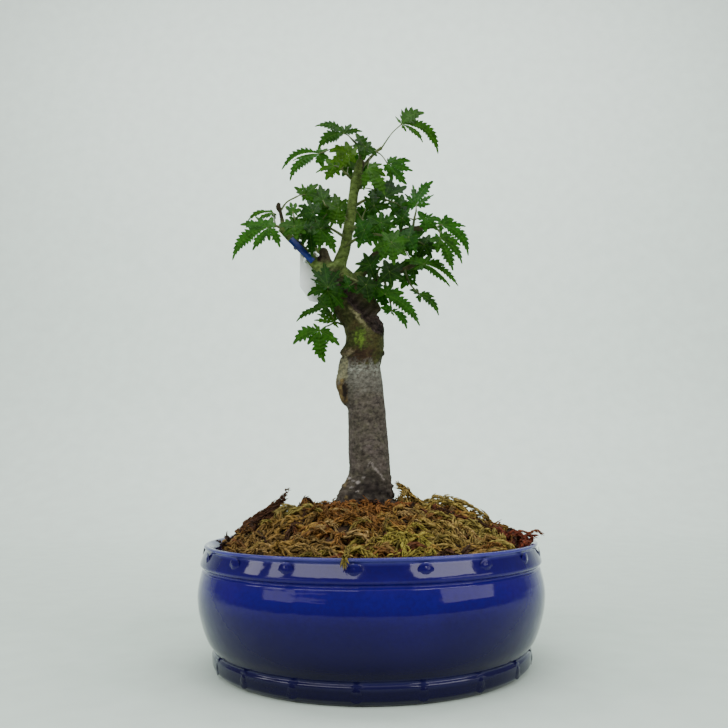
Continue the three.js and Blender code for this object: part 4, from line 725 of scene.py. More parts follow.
# A dark spot and a pale one just over the line, and green algae above them
paint(blot(-4, 134, 6.5, 3.4, 0.9) * 0.8, "#38281a")
paint(blot(-9.5, 135.3, 2.8, 1.8), "#75694f")
paint(blot(-3.9, 142.3, 3.4, 4.6, 1.1) * 0.45, "#43581a")
paint(blot(-3.6, 141.0, 2.2, 3.2, 1.3) * 0.4, "#5f7a28")
# Roots: darker, with pale flecks at x, height, width, and painted shade, near black, in the hollow where two
# part, with a pale edge
ROOT_FLECKS = [(-9.2, 78.6, 0.8), (-7.6, 77.4, 0.6), (-5.4, 76.8, 1.0), (-3.0, 78.6, 0.8), (-8.4, 74.6, 0.7),
               (-5.6, 72.8, 0.6)]
paint(flare * (0.6 + 0.5 * medium), "#453d35")
# Painted shade in the hollow under the parted roots
paint(hollow * (0.7 + 0.9 * medium), "#211b17")
for px, pz, wide in ROOT_FLECKS:
    paint(blot(px, pz, wide, 0.7 * wide, 0.9), "#8d8680")
paint(np.exp(-((z - fork) / 0.45) ** 2) * ((x > -1) & (x < 6.5) & (y < 0)) * (0.95 + fine), "#958b84")
paint(pore * 0.8, "#2a221c")
# The healed scar on the left, pale above, brown below and with a dark crack, and the knob's dark eye
scar = np.clip((-9.4 - x) / 0.8 + 0.6 * fine, 0, 1) * (y < 3.5) * (z < 134)
paint(scar * (1 - np.abs(z - 127) / 5.5 + 0.6 * medium) * 3, "#76745c")
paint(scar * (fine + 0.1) * 2.0 * (z > 122), "#8e8a68")
paint(scar * (1 - np.abs(z - 117) / 6 + 0.6 * medium) * 3, "#5c4b2e")
paint(scar * (medium - 0.1) * 2 * (z < 124), "#7c6c44")
paint(blot(-10.9, 117.6, 1.4, 4.0, 0.5) * (z < 122), "#1f1710")
paint(blot(8, KNOB_LEVEL, 1.5, 1.3, 0.2), "#1f1912")
# The wound: pale callus round brown cut wood that has gone black in its hollows and along its edge
paint(callus * np.clip((1 - x) / 5, 0, 1) * np.clip((156 - z) / 3, 0, 1) * (0.9 + 1.4 * fine), "#8a8560")
paint(wound_share, "#41352f")
paint(wound_share * (0.1 + medium + 0.8 * fine), "#5f5149")
paint(wound_share * (0.1 - medium + 0.6 * fine), "#17110d")
paint(wound_share * np.clip((x - 3.5) / 2, 0, 1) * (y < 1) * (0.7 + fine), "#0e0a08")
paint(np.where(of_bole, np.exp(-((beyond - 0.1) / 0.5) ** 2), 0) * (0.5 + 1.4 * fine), "#17110d")
# The stub, grey brown, and dark on its left side and its cut end, and the left twig, dark towards its tip
on_stub = (z > 176) & (z < 190) & (np.hypot(x + 20.4, y) < 3.6)
paint(np.clip((z - 177) / 3, 0, 1) * on_stub, "#57503c")
paint(np.clip((-21.4 - x + 0.6 * fine) / 0.8, 0, 1) * (z > 179) * on_stub, "#2c2117")
paint(np.clip((z - 185.6) / 0.6, 0, 1) * on_stub, "#2a2018")
paint(np.clip((z - 196) / 6, 0, 1) * (x < -38), "#2e2817")
tints[:, 3] = 1
painted_on = wood_mesh.attributes.new("tint", "FLOAT_COLOR", "POINT")
painted_on.data.foreach_set("color", tints.astype(np.float32).ravel())
wood_mesh.polygons.foreach_set("use_smooth", [True] * len(wood_mesh.polygons))
trunk = bpy.data.objects.new("maple_wood", wood_mesh)
bpy.context.collection.objects.link(trunk)

# Maple bark: dry, matt and close grained. Its colours are painted above, and a fine grain lies over them.
bark, tree, shader, place = finish_of("maple_bark", Roughness=0.85, Specular_IOR_Level=0.15)
painted = add(tree, "Attribute", {"attribute_name": "tint"})["Color"]
# Grain about 2.3 mm long across the trunk and 1.4 mm high
squeezed = add(tree, "Mapping", Vector=place, Scale=(1.0, 1.0, 1.7))[0]
grain = add(tree, "TexNoise", Vector=squeezed, Scale=430.0, Detail=6.0, Roughness=0.7)[0]
shading = add(tree, "ValToRGB", stops=[(0.34, "#868686"), (0.5, "#d0d0d0"), (0.66, "#ffffff")], Fac=grain)[0]
grained = add(tree, "Mix", MULTIPLIED, _0=1.0, _6=painted, _7=shading)[2]
crust = add(tree, "Bump", Strength=0.45, Distance=0.0004, Height=grain)[0]
feed(tree, shader, Base_Color=grained, Normal=crust)
wood_mesh.materials.append(bark)
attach(trunk, "root")
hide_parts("trunk")

# Leafy sprays: green shoots with leaves on arched petioles. A leaf is thin and cut nearly to its base into
# narrow lobes with toothed, crinkled margins, which arch out and droop. Each shoot is one piece.

# A spray is (its green, stations of its shoot as (x, z, depth, radius), leaves). A leaf is (its base as x, z,
# depth, its lean in depth per mm right and up, lobes, and the number of the station that its petiole leaves
# from, where that isn't the nearest). A lobe is (tip right, tip up, bow, width). x and z are seen from the
# photograph's place, in the plane of the trunk, and depth runs back from it.
SPRAYS = {
    # Crown, top left: three leaves and a bare twig end
    "spray_top": ("mid", [
        (-2.6, 228, 0, 1.5), (-3, 233, -0.5, 1.4), (-4, 237, -1.5, 1), (-6.8, 240.3, -3, 0.7),
    ], [
        ((-10.8, 243.5, -9), (-0.6, 0.3), [
            (-14.2, 3.7, 3.3, 3), (-12.5, -8, 3.3, 4.5), (3.8, 4.7, 0, 3.5), (9, 0.8, 1.2, 2.4),
            (-1, 4, 0, 2),
        ]),
        ((-0.5, 236.5, -4), (0.5, 0.5), [
            (-4.5, 7, 0, 4.5), (3, 2.4, 0, 3), (5.5, -5, 0.8, 3), (-1, -7, 0, 4), (-6, 0.5, 0.4, 4),
        ]),
        ((-22.8, 233.2, 9), (-0.2, 0.5), [
            (-18, -8, 5.2, 3.4), (-12.8, -3.6, 1.5, 1.5), (-14, -13.7, 4.6, 4), (1.8, -7, 0, 4),
            (4.6, -2.6, 0, 3.6), (4.2, 2.4, 0, 2.4), (0.2, 4.2, 0, 2),
        ], 2),
    ]),
    # Pair under it, on a petiole from the leader's swelling
    "spray_upper_left": ("yellow", [
        (-6.5, 219.6, 0, 1.1), (-9.4, 222.4, -3, 0.8), (-12, 225.2, -6, 0.6),
    ], [
        ((-15.5, 227, -2), (-0.7, 0.4), [
            (-9, -3.5, 0.8, 1.8), (-4.3, -7.1, 0, 4.5), (2.5, -5, 0, 3), (4, 2.5, 0, 3), (-4, 3.5, 0, 4),
        ]),
        ((-8.3, 232.5, -10.5), (-0.3, 0.5), [
            (-9.7, 1.5, 2.6, 4.6), (-9.2, -3.8, 0.8, 4), (-5, -7, 0, 4), (3, -4, 0, 3), (4, 4, 0, 3.6),
            (-1.5, 7, 0, 4),
        ]),
        ((-8.8, 226.2, 4.5), (0.2, 0.3), [
            (-3, -4.6, 0, 3), (1.6, -4.8, 0, 3), (-4.2, 2, 0, 3), (4.4, 3, 0, 3),
        ], 1),
    ]),
    # Crown, right: the green end of the leader, with one leaf held high on a long petiole
    "spray_crown_right": ("bright", [
        (-2.8, 225.4, 1, 1.2), (1.8, 230.8, 1.4, 1.1), (4.8, 234, 1.2, 1), (7.4, 235.9, 1, 1.2),
    ], [
        ((17.3, 248, 5), (0.3, 0.5), [
            (11.2, 5.5, 2.5, 6), (17.2, -15.6, 7.3, 4.2), (10, -9.7, 2.4, 2.4), (2, -4, 0.3, 1.4),
            (-3.1, 4, 0, 0.9),
        ]),
        ((10.3, 227.5, -8), (0.6, 0.4), [
            (4.5, 4, 0, 3), (11, 1.3, 1.8, 4.2), (12, -3.6, 0.6, 3.4), (8.9, -10.4, 0, 4.6), (2, -8, 0, 4.2),
            (-1.7, -3.5, 0, 2.4),
        ], 2),
        ((0.6, 225.5, -10), (0.2, 0.7), [
            (8, -13.5, 1.2, 5.2), (8.4, -4.2, 1.2, 4.2), (-2.2, -11, 0, 3), (7, 2, 0.8, 2.4),
        ], 1),
    ]),
    # Inside right, between the leader and the right branch
    "spray_inside_right": ("deep", [
        (-5.4, 207, 1, 1.2), (0, 210, 2, 0.9), (6, 210.4, 1, 0.8), (12.5, 208.5, 2, 0.6),
    ], [
        ((8.8, 211.3, -7), (0.5, 0.5), [
            (10.5, 5, 0, 6), (-3.5, 8, 0, 4.2), (3.5, 10, 0, 4.6), (8, -2.3, 1.3, 3), (-4, -3, 0.4, 2),
        ]),
        ((3.3, 206.5, -4), (-0.2, 0.6), [
            (-0.6, 8.6, 0, 3.4), (3.4, -4, 0, 1.6), (-4.6, 5.2, 0, 3), (9.5, -1.2, 1, 3), (-3, -3.6, 0, 1.6),
        ]),
        ((16, 206, 10), (0.2, 0.6), [
            (-5.5, -4.6, 0, 4), (-6, 2.4, 0, 3.4), (3, -6, 0, 4), (6, 2, 0, 3.6), (1, 6.4, 0, 4),
        ]),
    ]),
    # Left of the leader
    "spray_inside_left": ("bright", [
        (-8.6, 199, -1, 1.2), (-12.5, 202.5, -3.4, 0.9), (-16.5, 205.6, -5, 0.8), (-20, 207.4, -5.6, 0.6),
    ], [
        ((-13.5, 205.8, -9), (0.2, 0.5), [
            (4, 4.5, 0, 3.8), (-2, 7.5, 0, 4), (-6.4, 2.8, 0, 3.8), (-4, -9.6, 0, 3.8), (1, -10.4, 0, 3.8),
        ]),
        ((-21, 209.5, -2), (-0.1, 0.7), [
            (-1.5, 8.2, 0, 4.2), (3, 6.2, 0, 4), (6, 1.4, 0, 3.4), (-6.5, 3.6, 0.6, 4), (2.6, -6, 0, 3.6),
            (-4.6, -5, 0, 4),
        ]),
    ]),
    # Over the stub: leaves that hang between the leader and the left branch
    "spray_over_stub": ("mid", [
        (-10.4, 191, -1, 1.2), (-14.5, 194, -3.5, 0.9), (-19.5, 196.8, -5, 0.8), (-24.5, 198.5, -5.4, 0.6),
    ], [
        ((-22.3, 195.5, -8), (0.3, 0.5), [
            (7.1, -12.2, 1.2, 4.4), (6.3, -2.6, 0.8, 2), (-0.4, -10.5, 0, 4), (5, 5, 0, 3.8), (-3, 6, 0, 4),
            (-6, -1, 0, 3),
        ]),
        ((-27.2, 195, -5), (-0.2, 0.3), [
            (1.2, -13.4, 0, 4.4), (-3.6, -6.8, 0, 3.6), (-6.6, -1, 0, 3.8), (-5.6, 5, 0, 3.6),
            (1, 7, 0, 3.8),
        ]),
        ((-25.5, 203.8, -15), (-0.2, 0.5), [
            (-7.4, 3.4, 1, 4), (-8, -2.4, 0.8, 4), (-3, -6, 0, 3.6), (2.6, 5, 0, 3.4), (-2.6, 6.2, 0, 3.6),
        ]),
    ]),
    # End of the left branch
    "spray_left_end": ("pale", [
        (-40.6, 196, 1, 1.1), (-43.6, 197.4, 0, 0.8), (-46, 197.6, -1.4, 0.6),
    ], [
        ((-47, 196.5, -8), (-0.7, 0.5), [
            (-16.7, -16, 5.2, 4.2), (-13.4, 1.5, 1.2, 4.4), (-7.3, -11.2, 0.6, 3.6), (0.6, -6.6, 0, 3),
            (5.6, -10, 1.2, 3.2), (2, 5.2, 0, 4.2), (-6, 5.4, 0, 2.6),
        ]),
        ((-44.7, 203.7, 7), (-0.5, 0.4), [
            (-12.4, -4.6, 3.6, 2), (-7, -3.6, 1.2, 2.4), (-3.4, 1, 0.3, 1.4), (1, -3, 0, 1.6),
        ], 1),
    ]),
    # Single leaf on a long thin petiole from the upright twig
    "spray_left_high": ("bright", [
        (-41, 205, 0.7, 0.8), (-38.2, 209, 1.4, 0.55), (-34, 211.4, 2, 0.55),
    ], [
        ((-29.5, 212.4, 8), (-0.4, 0.6), [
            (-5.3, 4.2, 0.4, 2.8), (-1.5, 5.8, 0, 2), (6.4, 5.4, 0.6, 4), (10.4, 1.6, 0.8, 4),
            (-1.2, -3, 0, 1.8), (5.4, -4, 0, 3.8),
        ]),
    ]),
    # Middle of the left branch
    "spray_left": ("pale", [
        (-30.6, 186, 1.4, 1.1), (-30.7, 190.6, 0.6, 0.9), (-32.6, 196, -2, 0.8), (-34.8, 201.8, -2.4, 0.6),
    ], [
        ((-35.3, 204, 1.5), (-0.4, 0.5), [
            (-3.4, 3, 0, 2.8), (-1.2, 5, 0, 2.4), (1.6, 4.6, 0, 2.6), (-3.6, -1.4, 0, 2.4), (4, 1, 0.4, 3),
        ]),
        ((-34.5, 197, -14), (-0.5, 0.6), [
            (-7.6, 0.6, 0.6, 4.2), (-5.4, -4.6, 0, 3.8), (1, -6.4, 0, 4), (5.4, -3.6, 0, 3.6),
            (5.6, 2.6, 0, 3.8),
        ]),
    ]),
    # Upright shoot on the right branch
    "spray_right_upper": ("mid", [
        (21.6, 194.6, 1, 1.1), (22.4, 199.6, -0.5, 0.8), (23.4, 204, -2, 0.6),
    ], [
        ((23.5, 206.8, 1), (0.2, 0.5), [
            (8.5, 12, 2.2, 5.2), (8.6, 5.2, 0.3, 1.8), (6.8, 0.4, 0.3, 2.4), (-1.4, 10.4, 0, 2.8),
            (-5.4, 5.8, 0, 2), (-7, 0.6, 0.4, 3.6),
        ]),
        ((27.6, 199.8, -10), (0.6, 0.4), [
            (7.6, -0.8, 1.3, 4.2), (3.8, 2.9, 0, 1.5), (5.4, -5.5, 0.8, 4), (0, -6.5, 0, 3.8),
            (-3.3, 4.2, 0, 3.4),
        ]),
        ((16.8, 200.4, -3), (-0.3, 0.3), [
            (-6, -3.4, 0, 3.8), (-3.5, 3, 0, 3), (3.6, 5, 0.4, 3.4), (3.8, -4.2, 0, 3.4), (-1.2, -6, 0, 3.6),
        ], 1),
    ]),
    # End of the right branch
    "spray_right_end": ("mid", [
        (29.4, 195.8, 0, 1), (32.6, 195.4, -1.6, 0.8), (34.4, 193.4, -3.6, 0.6),
    ], [
        ((35.5, 197, 4), (0.7, 0.4), [
            (5.8, 2.2, 1.4, 4.2), (11.4, -1, 0.8, 2.4), (12, -15.5, 4.8, 3.6), (-2, 3.5, 0, 2),
            (-1, -4, 0, 2),
        ]),
        ((34.5, 190.2, -9), (0.8, 0.4), [
            (5.8, 1.4, 1, 3), (9.6, -3.6, 1.3, 3.6), (10, -12.6, 3, 3), (5.6, -15.8, 0.9, 4.2),
            (-1.8, -7, 0, 4), (-5, -0.6, 0, 3.6),
        ]),
    ]),
    # Under the middle of the right branch
    "spray_right_middle": ("deep", [
        (17.4, 194, 2.5, 1.1), (19.5, 191.5, -2, 0.9), (23.4, 189, -4, 0.7),
    ], [
        ((19.5, 191, -12), (0.3, 0.7), [
            (-6, 2.4, 0, 3.8), (-3.6, -6.8, 0, 4), (3.6, -7.6, 0, 4), (7, 1.6, 0, 3.8), (2, 6, 0, 3.8),
        ]),
        ((26.8, 187.2, -2), (0.5, 0.5), [
            (3.5, -6.8, 0, 3.8), (6.5, -2, 0, 3.6), (-3.6, -7.4, 0, 3), (-7, -1, 0, 4), (3, 5, 0, 3.8),
        ]),
    ]),
    # In front of the leader's foot: the big leaves of the middle
    "spray_front_middle": ("mid", [
        (-10.4, 187, -1, 1.3), (-5, 190.5, -6, 1), (1.5, 192.6, -9, 0.9), (8, 192, -12, 0.7),
    ], [
        ((-1.5, 194.8, -9), (-0.4, 0.5), [
            (-5.3, -3.6, 0.4, 3.6), (-3, -9, 0, 4.2), (3.4, -8, 0, 4), (-3, 6.5, 0, 4), (4, 6.5, 0, 4.2),
        ]),
        ((11.5, 188.4, -21), (0.3, 0.7), [
            (-9.4, -4, 0.4, 5), (-6, -9, 0, 4.6), (1, -11, 0, 5), (7, -6.5, 0, 4.6), (8.6, 1, 0.5, 4.4),
            (3.5, 6.5, 0, 4), (-4.5, 5.5, 0, 4),
        ]),
        ((6.5, 198.4, -15), (0.4, 0.3), [
            (-6.6, 3.4, 0, 4), (-5, -4, 0, 3), (6.8, 3, 0, 4), (7.6, -2.6, 0, 3.6), (0.6, 5.4, 0, 3.6),
        ]),
    ]),
    # On the lower right branch, in front
    "spray_low_middle": ("deep", [
        (5, 170.4, 3, 1.2), (4.4, 174, -3, 0.9), (6, 176.4, -7, 0.7),
    ], [
        ((1.2, 177.4, -9), (-0.3, 0.5), [
            (-7.2, 0.8, 0.6, 2.6), (-7, -3, 0.3, 2.6), (-3, 6.4, 0, 3.4), (4.4, 5.6, 0, 4), (2.4, -7, 0, 4),
        ]),
        ((10.2, 174.2, -12), (0.4, 0.6), [
            (-5.4, -5, 0, 4), (1, -7.6, 0, 4), (6.6, -3.6, 0, 4), (7.6, 4.6, 0, 4), (-2.4, 6, 0, 4.4),
        ]),
    ]),
    # End of the lower right branch
    "spray_low_right_end": ("mid", [
        (22.6, 177.8, 0, 0.9), (25, 178.2, -1.6, 0.7),
    ], [
        ((26.5, 177.8, -10), (0.7, 0.3), [
            (9.8, -0.8, 1.1, 3.8), (7.8, -7.2, 1.6, 1.8), (12, -11.2, 2, 3.4), (16, -11, 3.3, 2.6),
            (3.2, 4, 0, 3.4), (-9.4, 2, 0.8, 3.2), (-4.6, -2.6, 0.4, 3),
        ]),
    ]),
    # Hanging from the lower right branch
    "spray_low_right": ("mid", [
        (17.6, 175.4, 0.5, 1), (18.2, 172.4, -2, 0.8), (20, 168, -3.6, 0.6), (23, 164.6, -3.6, 0.5),
    ], [
        ((18.2, 170.2, -2.5), (0.5, 0.3), [
            (-0.1, 6.8, 0, 2.2), (4.4, 2.2, 0.3, 2.8), (5.2, -3, 0.6, 2.4), (-2.8, -4.2, 0, 2.8),
            (-5.6, 1, 0.5, 2.8),
        ]),
        ((24, 163.2, 0), (0.5, 0.6), [
            (8.9, -10.3, 2.6, 2.6), (7, -1.4, 0.7, 2.2), (0.2, -3.8, 0, 2.2), (-4.6, 2.2, 1, 1.8),
        ]),
    ]),
    # Low on the right, in front of the wound
    "spray_low_front": ("mid", [
        (7.6, 171.6, 2.6, 1.1), (8.4, 167.6, -3, 0.9), (9.8, 162.4, -7, 0.7), (10.9, 157, -8, 0.5),
    ], [
        ((8, 163.4, -12), (0.4, 0.5), [
            (16, -15.4, 3.4, 3.8), (9, 0.4, 0.8, 4.6), (-4, 3.4, 0, 3.6), (3.4, 5, 0, 4),
        ]),
        ((3.6, 166, -6), (0, 0.4), [
            (5.4, -10, 0.8, 4.4), (-3, -5.4, 0, 3.4), (-4, 3.4, 0, 3.6), (2.4, 5, 0, 3.4),
        ]),
        ((11, 155.4, -12), (0.4, 0.4), [
            (6.8, -8.7, 2.4, 3), (-5.2, 1.8, 0.3, 3.2), (1, -2.2, 0, 1), (3, 1, 0, 1),
        ]),
    ]),
    # In front of the trunk's top, right
    "spray_front_right": ("deep", [
        (-12, 172.6, -3, 1.2), (-8.4, 171.4, -10, 0.9), (-4.4, 169.6, -13.5, 0.7),
    ], [
        ((-0.8, 168, -19), (0.3, 0.6), [
            (1.5, -8.5, 0, 4.2), (-5, -4, 0, 3.8), (-4, 4.6, 0, 4), (2.4, 5.4, 0, 3.8), (5.4, 0, 0, 3.6),
        ]),
        ((-8.8, 167.4, -15), (-0.2, 0.3), [
            (-2.2, 5.8, 0, 2.6), (-5, 2.4, 0, 1.7), (-4.8, -0.4, 0, 1.6), (3, -3, 0, 2.6),
        ]),
    ]),
    # In front of the trunk's top, left: a pair back to back
    "spray_front_left": ("deep", [
        (-18.6, 174, -4, 1.2), (-18.6, 170.6, -12, 0.9), (-18.8, 167, -14, 0.7),
    ], [
        ((-18.7, 167, -20), (-0.2, 0.6), [
            (-7.7, 8.8, 0.5, 4), (-1.8, 12, 0, 5), (5.8, 8.2, 0.5, 4.6), (5.2, 2.4, 0.3, 2.8),
            (-8.3, 4.4, 0.3, 1.8), (-4, 0.8, 0, 2),
        ]),
        ((-18.9, 165.2, -17), (0.2, 0.4), [
            (-9.6, -2.2, 2, 4), (-3.4, -3.4, 0, 2.8), (2.5, -10.2, 0.4, 4.8), (7.4, -8.4, 0.8, 5),
            (9.4, -3, 0.8, 4.4),
        ]),
    ]),
    # Lowest on the left, on a twig of the old trunk
    "spray_low_left": ("bright", [
        (-9, 148.4, 0, 1), (-12.5, 149.4, -1.4, 0.75), (-15.2, 150.2, -3, 0.7), (-18.4, 148.8, -4, 0.5),
    ], [
        ((-22.5, 146.3, -9), (-0.4, 0.4), [
            (-12.5, -6.3, 2.6, 4.8), (2.4, -15, -1.8, 5.2), (9, -7.1, 1.2, 4.2), (6.4, -2, 0.6, 2.8),
            (-5.8, -6.4, 0.4, 3.8), (-3, 3.6, 0, 1.6),
        ]),
        ((-16.3, 150.6, -4), (-0.3, 0.3), [
            (-3.6, 6.8, 0.4, 3.2), (-7.6, 3.8, 0.5, 1.8), (-9, 0.8, 0.3, 1.8), (2.4, -3, 0, 1.2),
            (0.8, 4.4, 0, 2.4),
        ]),
        ((-19.6, 158, -6), (-0.5, 0.5), [
            (-4, 4.2, 0.6, 4.4), (-6, -0.6, 0.5, 4.2), (-14, -7.4, 2.4, 2.6), (-1.8, -5.4, 0, 3.4),
            (3.6, 3, 0, 3),
        ], 2),
    ]),
    # Behind the leader, high
    "spray_back_high": ("mid", [
        (-6.2, 212, 2.2, 1.2), (-5, 215, 7, 0.9), (-3.4, 218.6, 11, 0.7),
    ], [
        ((-1, 223.4, 15), (-0.4, -0.6), [
            (6.5, 3, 0.6, 4), (5, -5.5, 0.4, 4), (-2, -8, 0, 4), (-4, 4, 0, 3.8), (2, 6, 0, 3.8),
        ]),
        ((-5.6, 228, 9), (0.3, -0.4), [
            (-6, 3, 0.5, 3.8), (-3.4, -4, 0, 3.4), (4, 6, 0, 3.8), (0, 8, 0, 3.6),
        ], 1),
        ((4, 214.6, 14), (-0.5, -0.5), [
            (7.5, 1, 0.8, 4), (5, -6, 0.4, 4), (-2.4, -6, 0, 3.8), (4, 6.4, 0, 3.8),
        ], 1),
    ]),
    # Behind, on the back branch
    "spray_back": ("mid", [
        (-4.1, 197, 17.6, 1), (-2.4, 200, 21.5, 0.7),
    ], [
        ((-0.5, 205, 26), (-0.3, -0.7), [
            (6, 7, 0, 4.4), (9, 0, 0.8, 4.4), (5, -8, 0, 4.4), (-3, -9, 0, 4.4), (-6, -2, 0, 3.6),
        ]),
        ((-6.5, 206, 22), (0.4, -0.6), [
            (-2.6, 4, 0, 3.4), (-8, -1, 1, 4.2), (-6, -8, 0, 4.2), (1.6, -8, 0, 4.2),
        ]),
        ((3, 195, 17), (-0.3, -0.5), [
            (7, 5, 0, 4.2), (7.6, -3, 0.6, 4.2), (1, -8, 0, 4.4), (-6, -5, 0, 4), (-3, 5, 0, 3.4),
        ], 1),
    ]),
    # Behind, on the right
    "spray_back_right": ("mid", [
        (12.8, 184.8, 16, 1), (15.5, 187.4, 20, 0.7),
    ], [
        ((19.4, 190.6, 23), (-0.6, -0.6), [
            (8, 3, 0.8, 4.4), (8, -6, 0.8, 4.4), (1, -9, 0, 4.4), (-5.6, -5, 0, 4), (2, 6, 0, 3.8),
        ]),
        ((11.6, 190, 23), (0.1, -0.7), [
            (-3, 6, 0, 4), (-8.4, 0, 0.6, 4.2), (-6.5, -8, 0, 4.4), (1, -9, 0, 4.2),
        ]),
        ((21, 179, 17), (-0.5, -0.4), [
            (7, 4, 0.4, 4), (8, -4, 0.8, 4.2), (1, -9, 0, 4.2), (-6, -4, 0, 4),
        ], 1),
    ]),
    # Behind, on the left
    "spray_back_left": ("mid", [
        (-23.3, 184.9, 19.8, 1), (-27.5, 190, 22, 0.7),
    ], [
        ((-31, 196.4, 22), (0.6, -0.5), [
            (-6, 5.4, 0, 4), (-7.4, -2, 0.8, 4.2), (-3, -7.6, 0, 4.2), (3, 6, 0, 3.8),
        ]),
        ((-24.6, 196, 23), (-0.1, -0.6), [
            (-1, 8.4, 0, 4.2), (7, 5, 0.6, 4.2), (7.4, -2, 0.6, 4), (1, -7, 0, 4),
        ]),
        ((-19, 203, 14), (-0.2, -0.6), [
            (-3, 6.4, 0, 4), (5, 5, 0, 4), (6, -3, 0.4, 4), (-4, -6, 0, 4.2), (-7, 1, 0.4, 4),
        ]),
    ]),
}

EYE_DISTANCE = 338       # from the plane of the trunk to the photograph's place
EYE = np.array([-2.1, -EYE_DISTANCE, 80.4])
# Greens of the sprays, partly the leaves' own and partly painted light and shade: bright and pale for the
# sprays on the left, where the light comes from, and at the top right; deep for those inside the crown, under
# the right branch and low in front of the trunk
LEAF_GREENS = {"mid": "#214f09", "deep": "#194306", "bright": "#285408", "yellow": "#335a06",
               "pale": "#366616"}
LOBE_FULLNESS = 1.35     # widths of the lobes against the table
ARCH_SHARE = 1.5         # how far the control point of a midrib stands up, against its bow
SHOOT_SLIM = 0.7         # thickness of the shoots against the table
TOOTH_PITCH = 2.2        # mm between two teeth on a margin
TOOTH_LEAN = 0.13        # how far a tooth's point is pushed on, as a share of the pitch
HALF_COLUMNS = 3
COLUMNS = 2 * HALF_COLUMNS + 1
# Half width of a lobe along its length, as a share of its widest
LOBE_AT = [0, 0.1, 0.2, 0.32, 0.44, 0.56, 0.68, 0.8, 0.9, 1]
LOBE_SHARE = [0.3, 0.52, 0.8, 1, 1.03, 0.95, 0.75, 0.46, 0.22, 0.02]


def at(x, z, depth):
    """The point that the photograph's eye sees at x, z in the plane of the trunk, moved back by depth."""
    on_plane = np.array([x, 0.0, z])
    return EYE + (on_plane - EYE) * (1 + depth / EYE_DISTANCE)


def leaf(joint, lean, outward, lobes):
    """Points and faces of a leaf, with how far across and along its lobe each point is. Its tips curl back
    where outward is 1, as in front of the tree, and forward where it is -1, as behind."""
    x, z, depth = joint
    order = []
    for dx, dz, bow, width in lobes:
        tip = np.array([dx, dz])
        length = math.hypot(dx, dz)
        up = np.array([dz, -dx] if dx < 0 else [-dz, dx]) / length
        control = tip / 2 + ARCH_SHARE * bow * up
        early = 0.48 * control + 0.16 * tip
        order.append((math.atan2(early[1], early[0]), control, tip, length, width * LOBE_FULLNESS))
    order.sort(key=lambda lobe: lobe[0])
    points, faces, across, along = [], [], [], []
    for i, (angle, control, tip, length, width) in enumerate(order):
        before, after = order[i - 1][0], order[(i + 1) % len(order)][0]
        sides = [(angle - before) % (2 * math.pi), (after - angle) % (2 * math.pi)]
        twist, droop = 0.5 * chance.normal(), 0.9 + 0.5 * chance.random()
        wave, fold = 6.3 * chance.random(), 0.3 + 0.16 * chance.random()
        teeth = max(2, round(length / TOOTH_PITCH))
        # Rows of points: four by the joint, then a notch, a back and a point for each tooth, then the tip
        rows = [(t, 1, 0) for t in (0, 0.04, 0.08, 0.12)]
        for k in range(teeth):
            size = 0.8 + 0.5 * chance.random()
            tooth = [(0.0, 1 - 0.3 * size, 0), (0.5, 1.05, 0), (0.84, 1 + 0.26 * size, TOOTH_LEAN)]
            for phase, share, push in tooth:
                rows.append((0.13 + 0.83 * (k + phase) / teeth, share, push))
        rows.append((1, 1, 0))
        faces += grid(len(rows), COLUMNS, around=False, start=len(points))
        for t, toothed, push in rows:
            middle = 2 * t * (1 - t) * control + t * t * tip
            heading = 2 * (1 - 2 * t) * control + 2 * t * tip
            heading = heading / (np.linalg.norm(heading) + 1e-9)
            normal = np.array([-heading[1], heading[0]])
            out = np.linalg.norm(middle)
            half = width / 2 * np.interp(t, LOBE_AT, LOBE_SHARE)
            for column in range(-HALF_COLUMNS, HALF_COLUMNS + 1):
                share, side = abs(column) / HALF_COLUMNS, 1 if column > 0 else -1
                # No wider than the gap to the next lobe leaves room for
                opening = min((sides[1] if side > 0 else sides[0]) / 2, 1.2)
                plain = min(half, out * math.tan(opening) * (1.0 if out < 0.3 * length else 0.93)) * share
                off, reached = plain, t
                if share == 1:
                    off *= toothed
                    middle = middle + heading * push * TOOTH_PITCH
                    reached += push * TOOTH_PITCH / length
                spot = middle + side * off * normal - heading * 0.3 * share * half * min(1, 4 * t)
                curl = 0.22 * droop * length * reached * reached - fold * off
                pleat = 0.03 * math.sin(2 * math.pi * (t * length - plain) / TOOTH_PITCH + wave) * share
                roll = math.tan(max(-0.6, min(0.6, twist * t))) * side * off
                away = depth + lean[0] * spot[0] + lean[1] * spot[1] + outward * curl + pleat + roll
                points.append(at(x + spot[0], z + spot[1], away))
                across.append(side * off)
                along.append(t * length)
    return np.array(points), faces, across, along


# Maple leaf: thin and softly glossy on its upper side, lighter where light comes through, its veins paler
# than the blade. Each leaf has its own green. A leaf's usual IOR is 1.45 and its roughness 0.45, and both are
# matched to the duller leaves of this tree.
maple_leaf, tree, shader, place = finish_of("maple_leaf", Roughness=0.55, IOR=1.42, Specular_IOR_Level=0.12)
green = add(tree, "Attribute", {"attribute_name": "tint"})["Color"]
crosswise = add(tree, "Attribute", {"attribute_name": "across"})["Fac"]
off_vein = add(tree, "Math", {"operation": "ABSOLUTE"}, _0=crosswise)[0]
outwards = add(tree, "Attribute", {"attribute_name": "along"})["Fac"]
# Side veins that slant outwards from the midrib, in millimetres
VEIN_SPACING, VEIN_SLANT = 1.5, 1.1
slant = add(tree, "Math", {"operation": "MULTIPLY_ADD"}, _0=off_vein, _1=-VEIN_SLANT, _2=outwards)[0]
turns = add(tree, "Math", {"operation": "MULTIPLY"}, _0=slant, _1=2 * math.pi / VEIN_SPACING)[0]
ribs = add(tree, "Math", {"operation": "SINE"}, _0=turns)[0]
side_veins = add(tree, "MapRange", Value=ribs, From_Min=0.7, From_Max=1.0, To_Min=0.0, To_Max=0.03)[0]
midrib = add(tree, "MapRange", Value=off_vein, From_Min=0.06, From_Max=0.2, To_Min=0.2, To_Max=0.0)[0]
veins = add(tree, "Math", {"operation": "MAXIMUM"}, _0=side_veins, _1=midrib)[0]
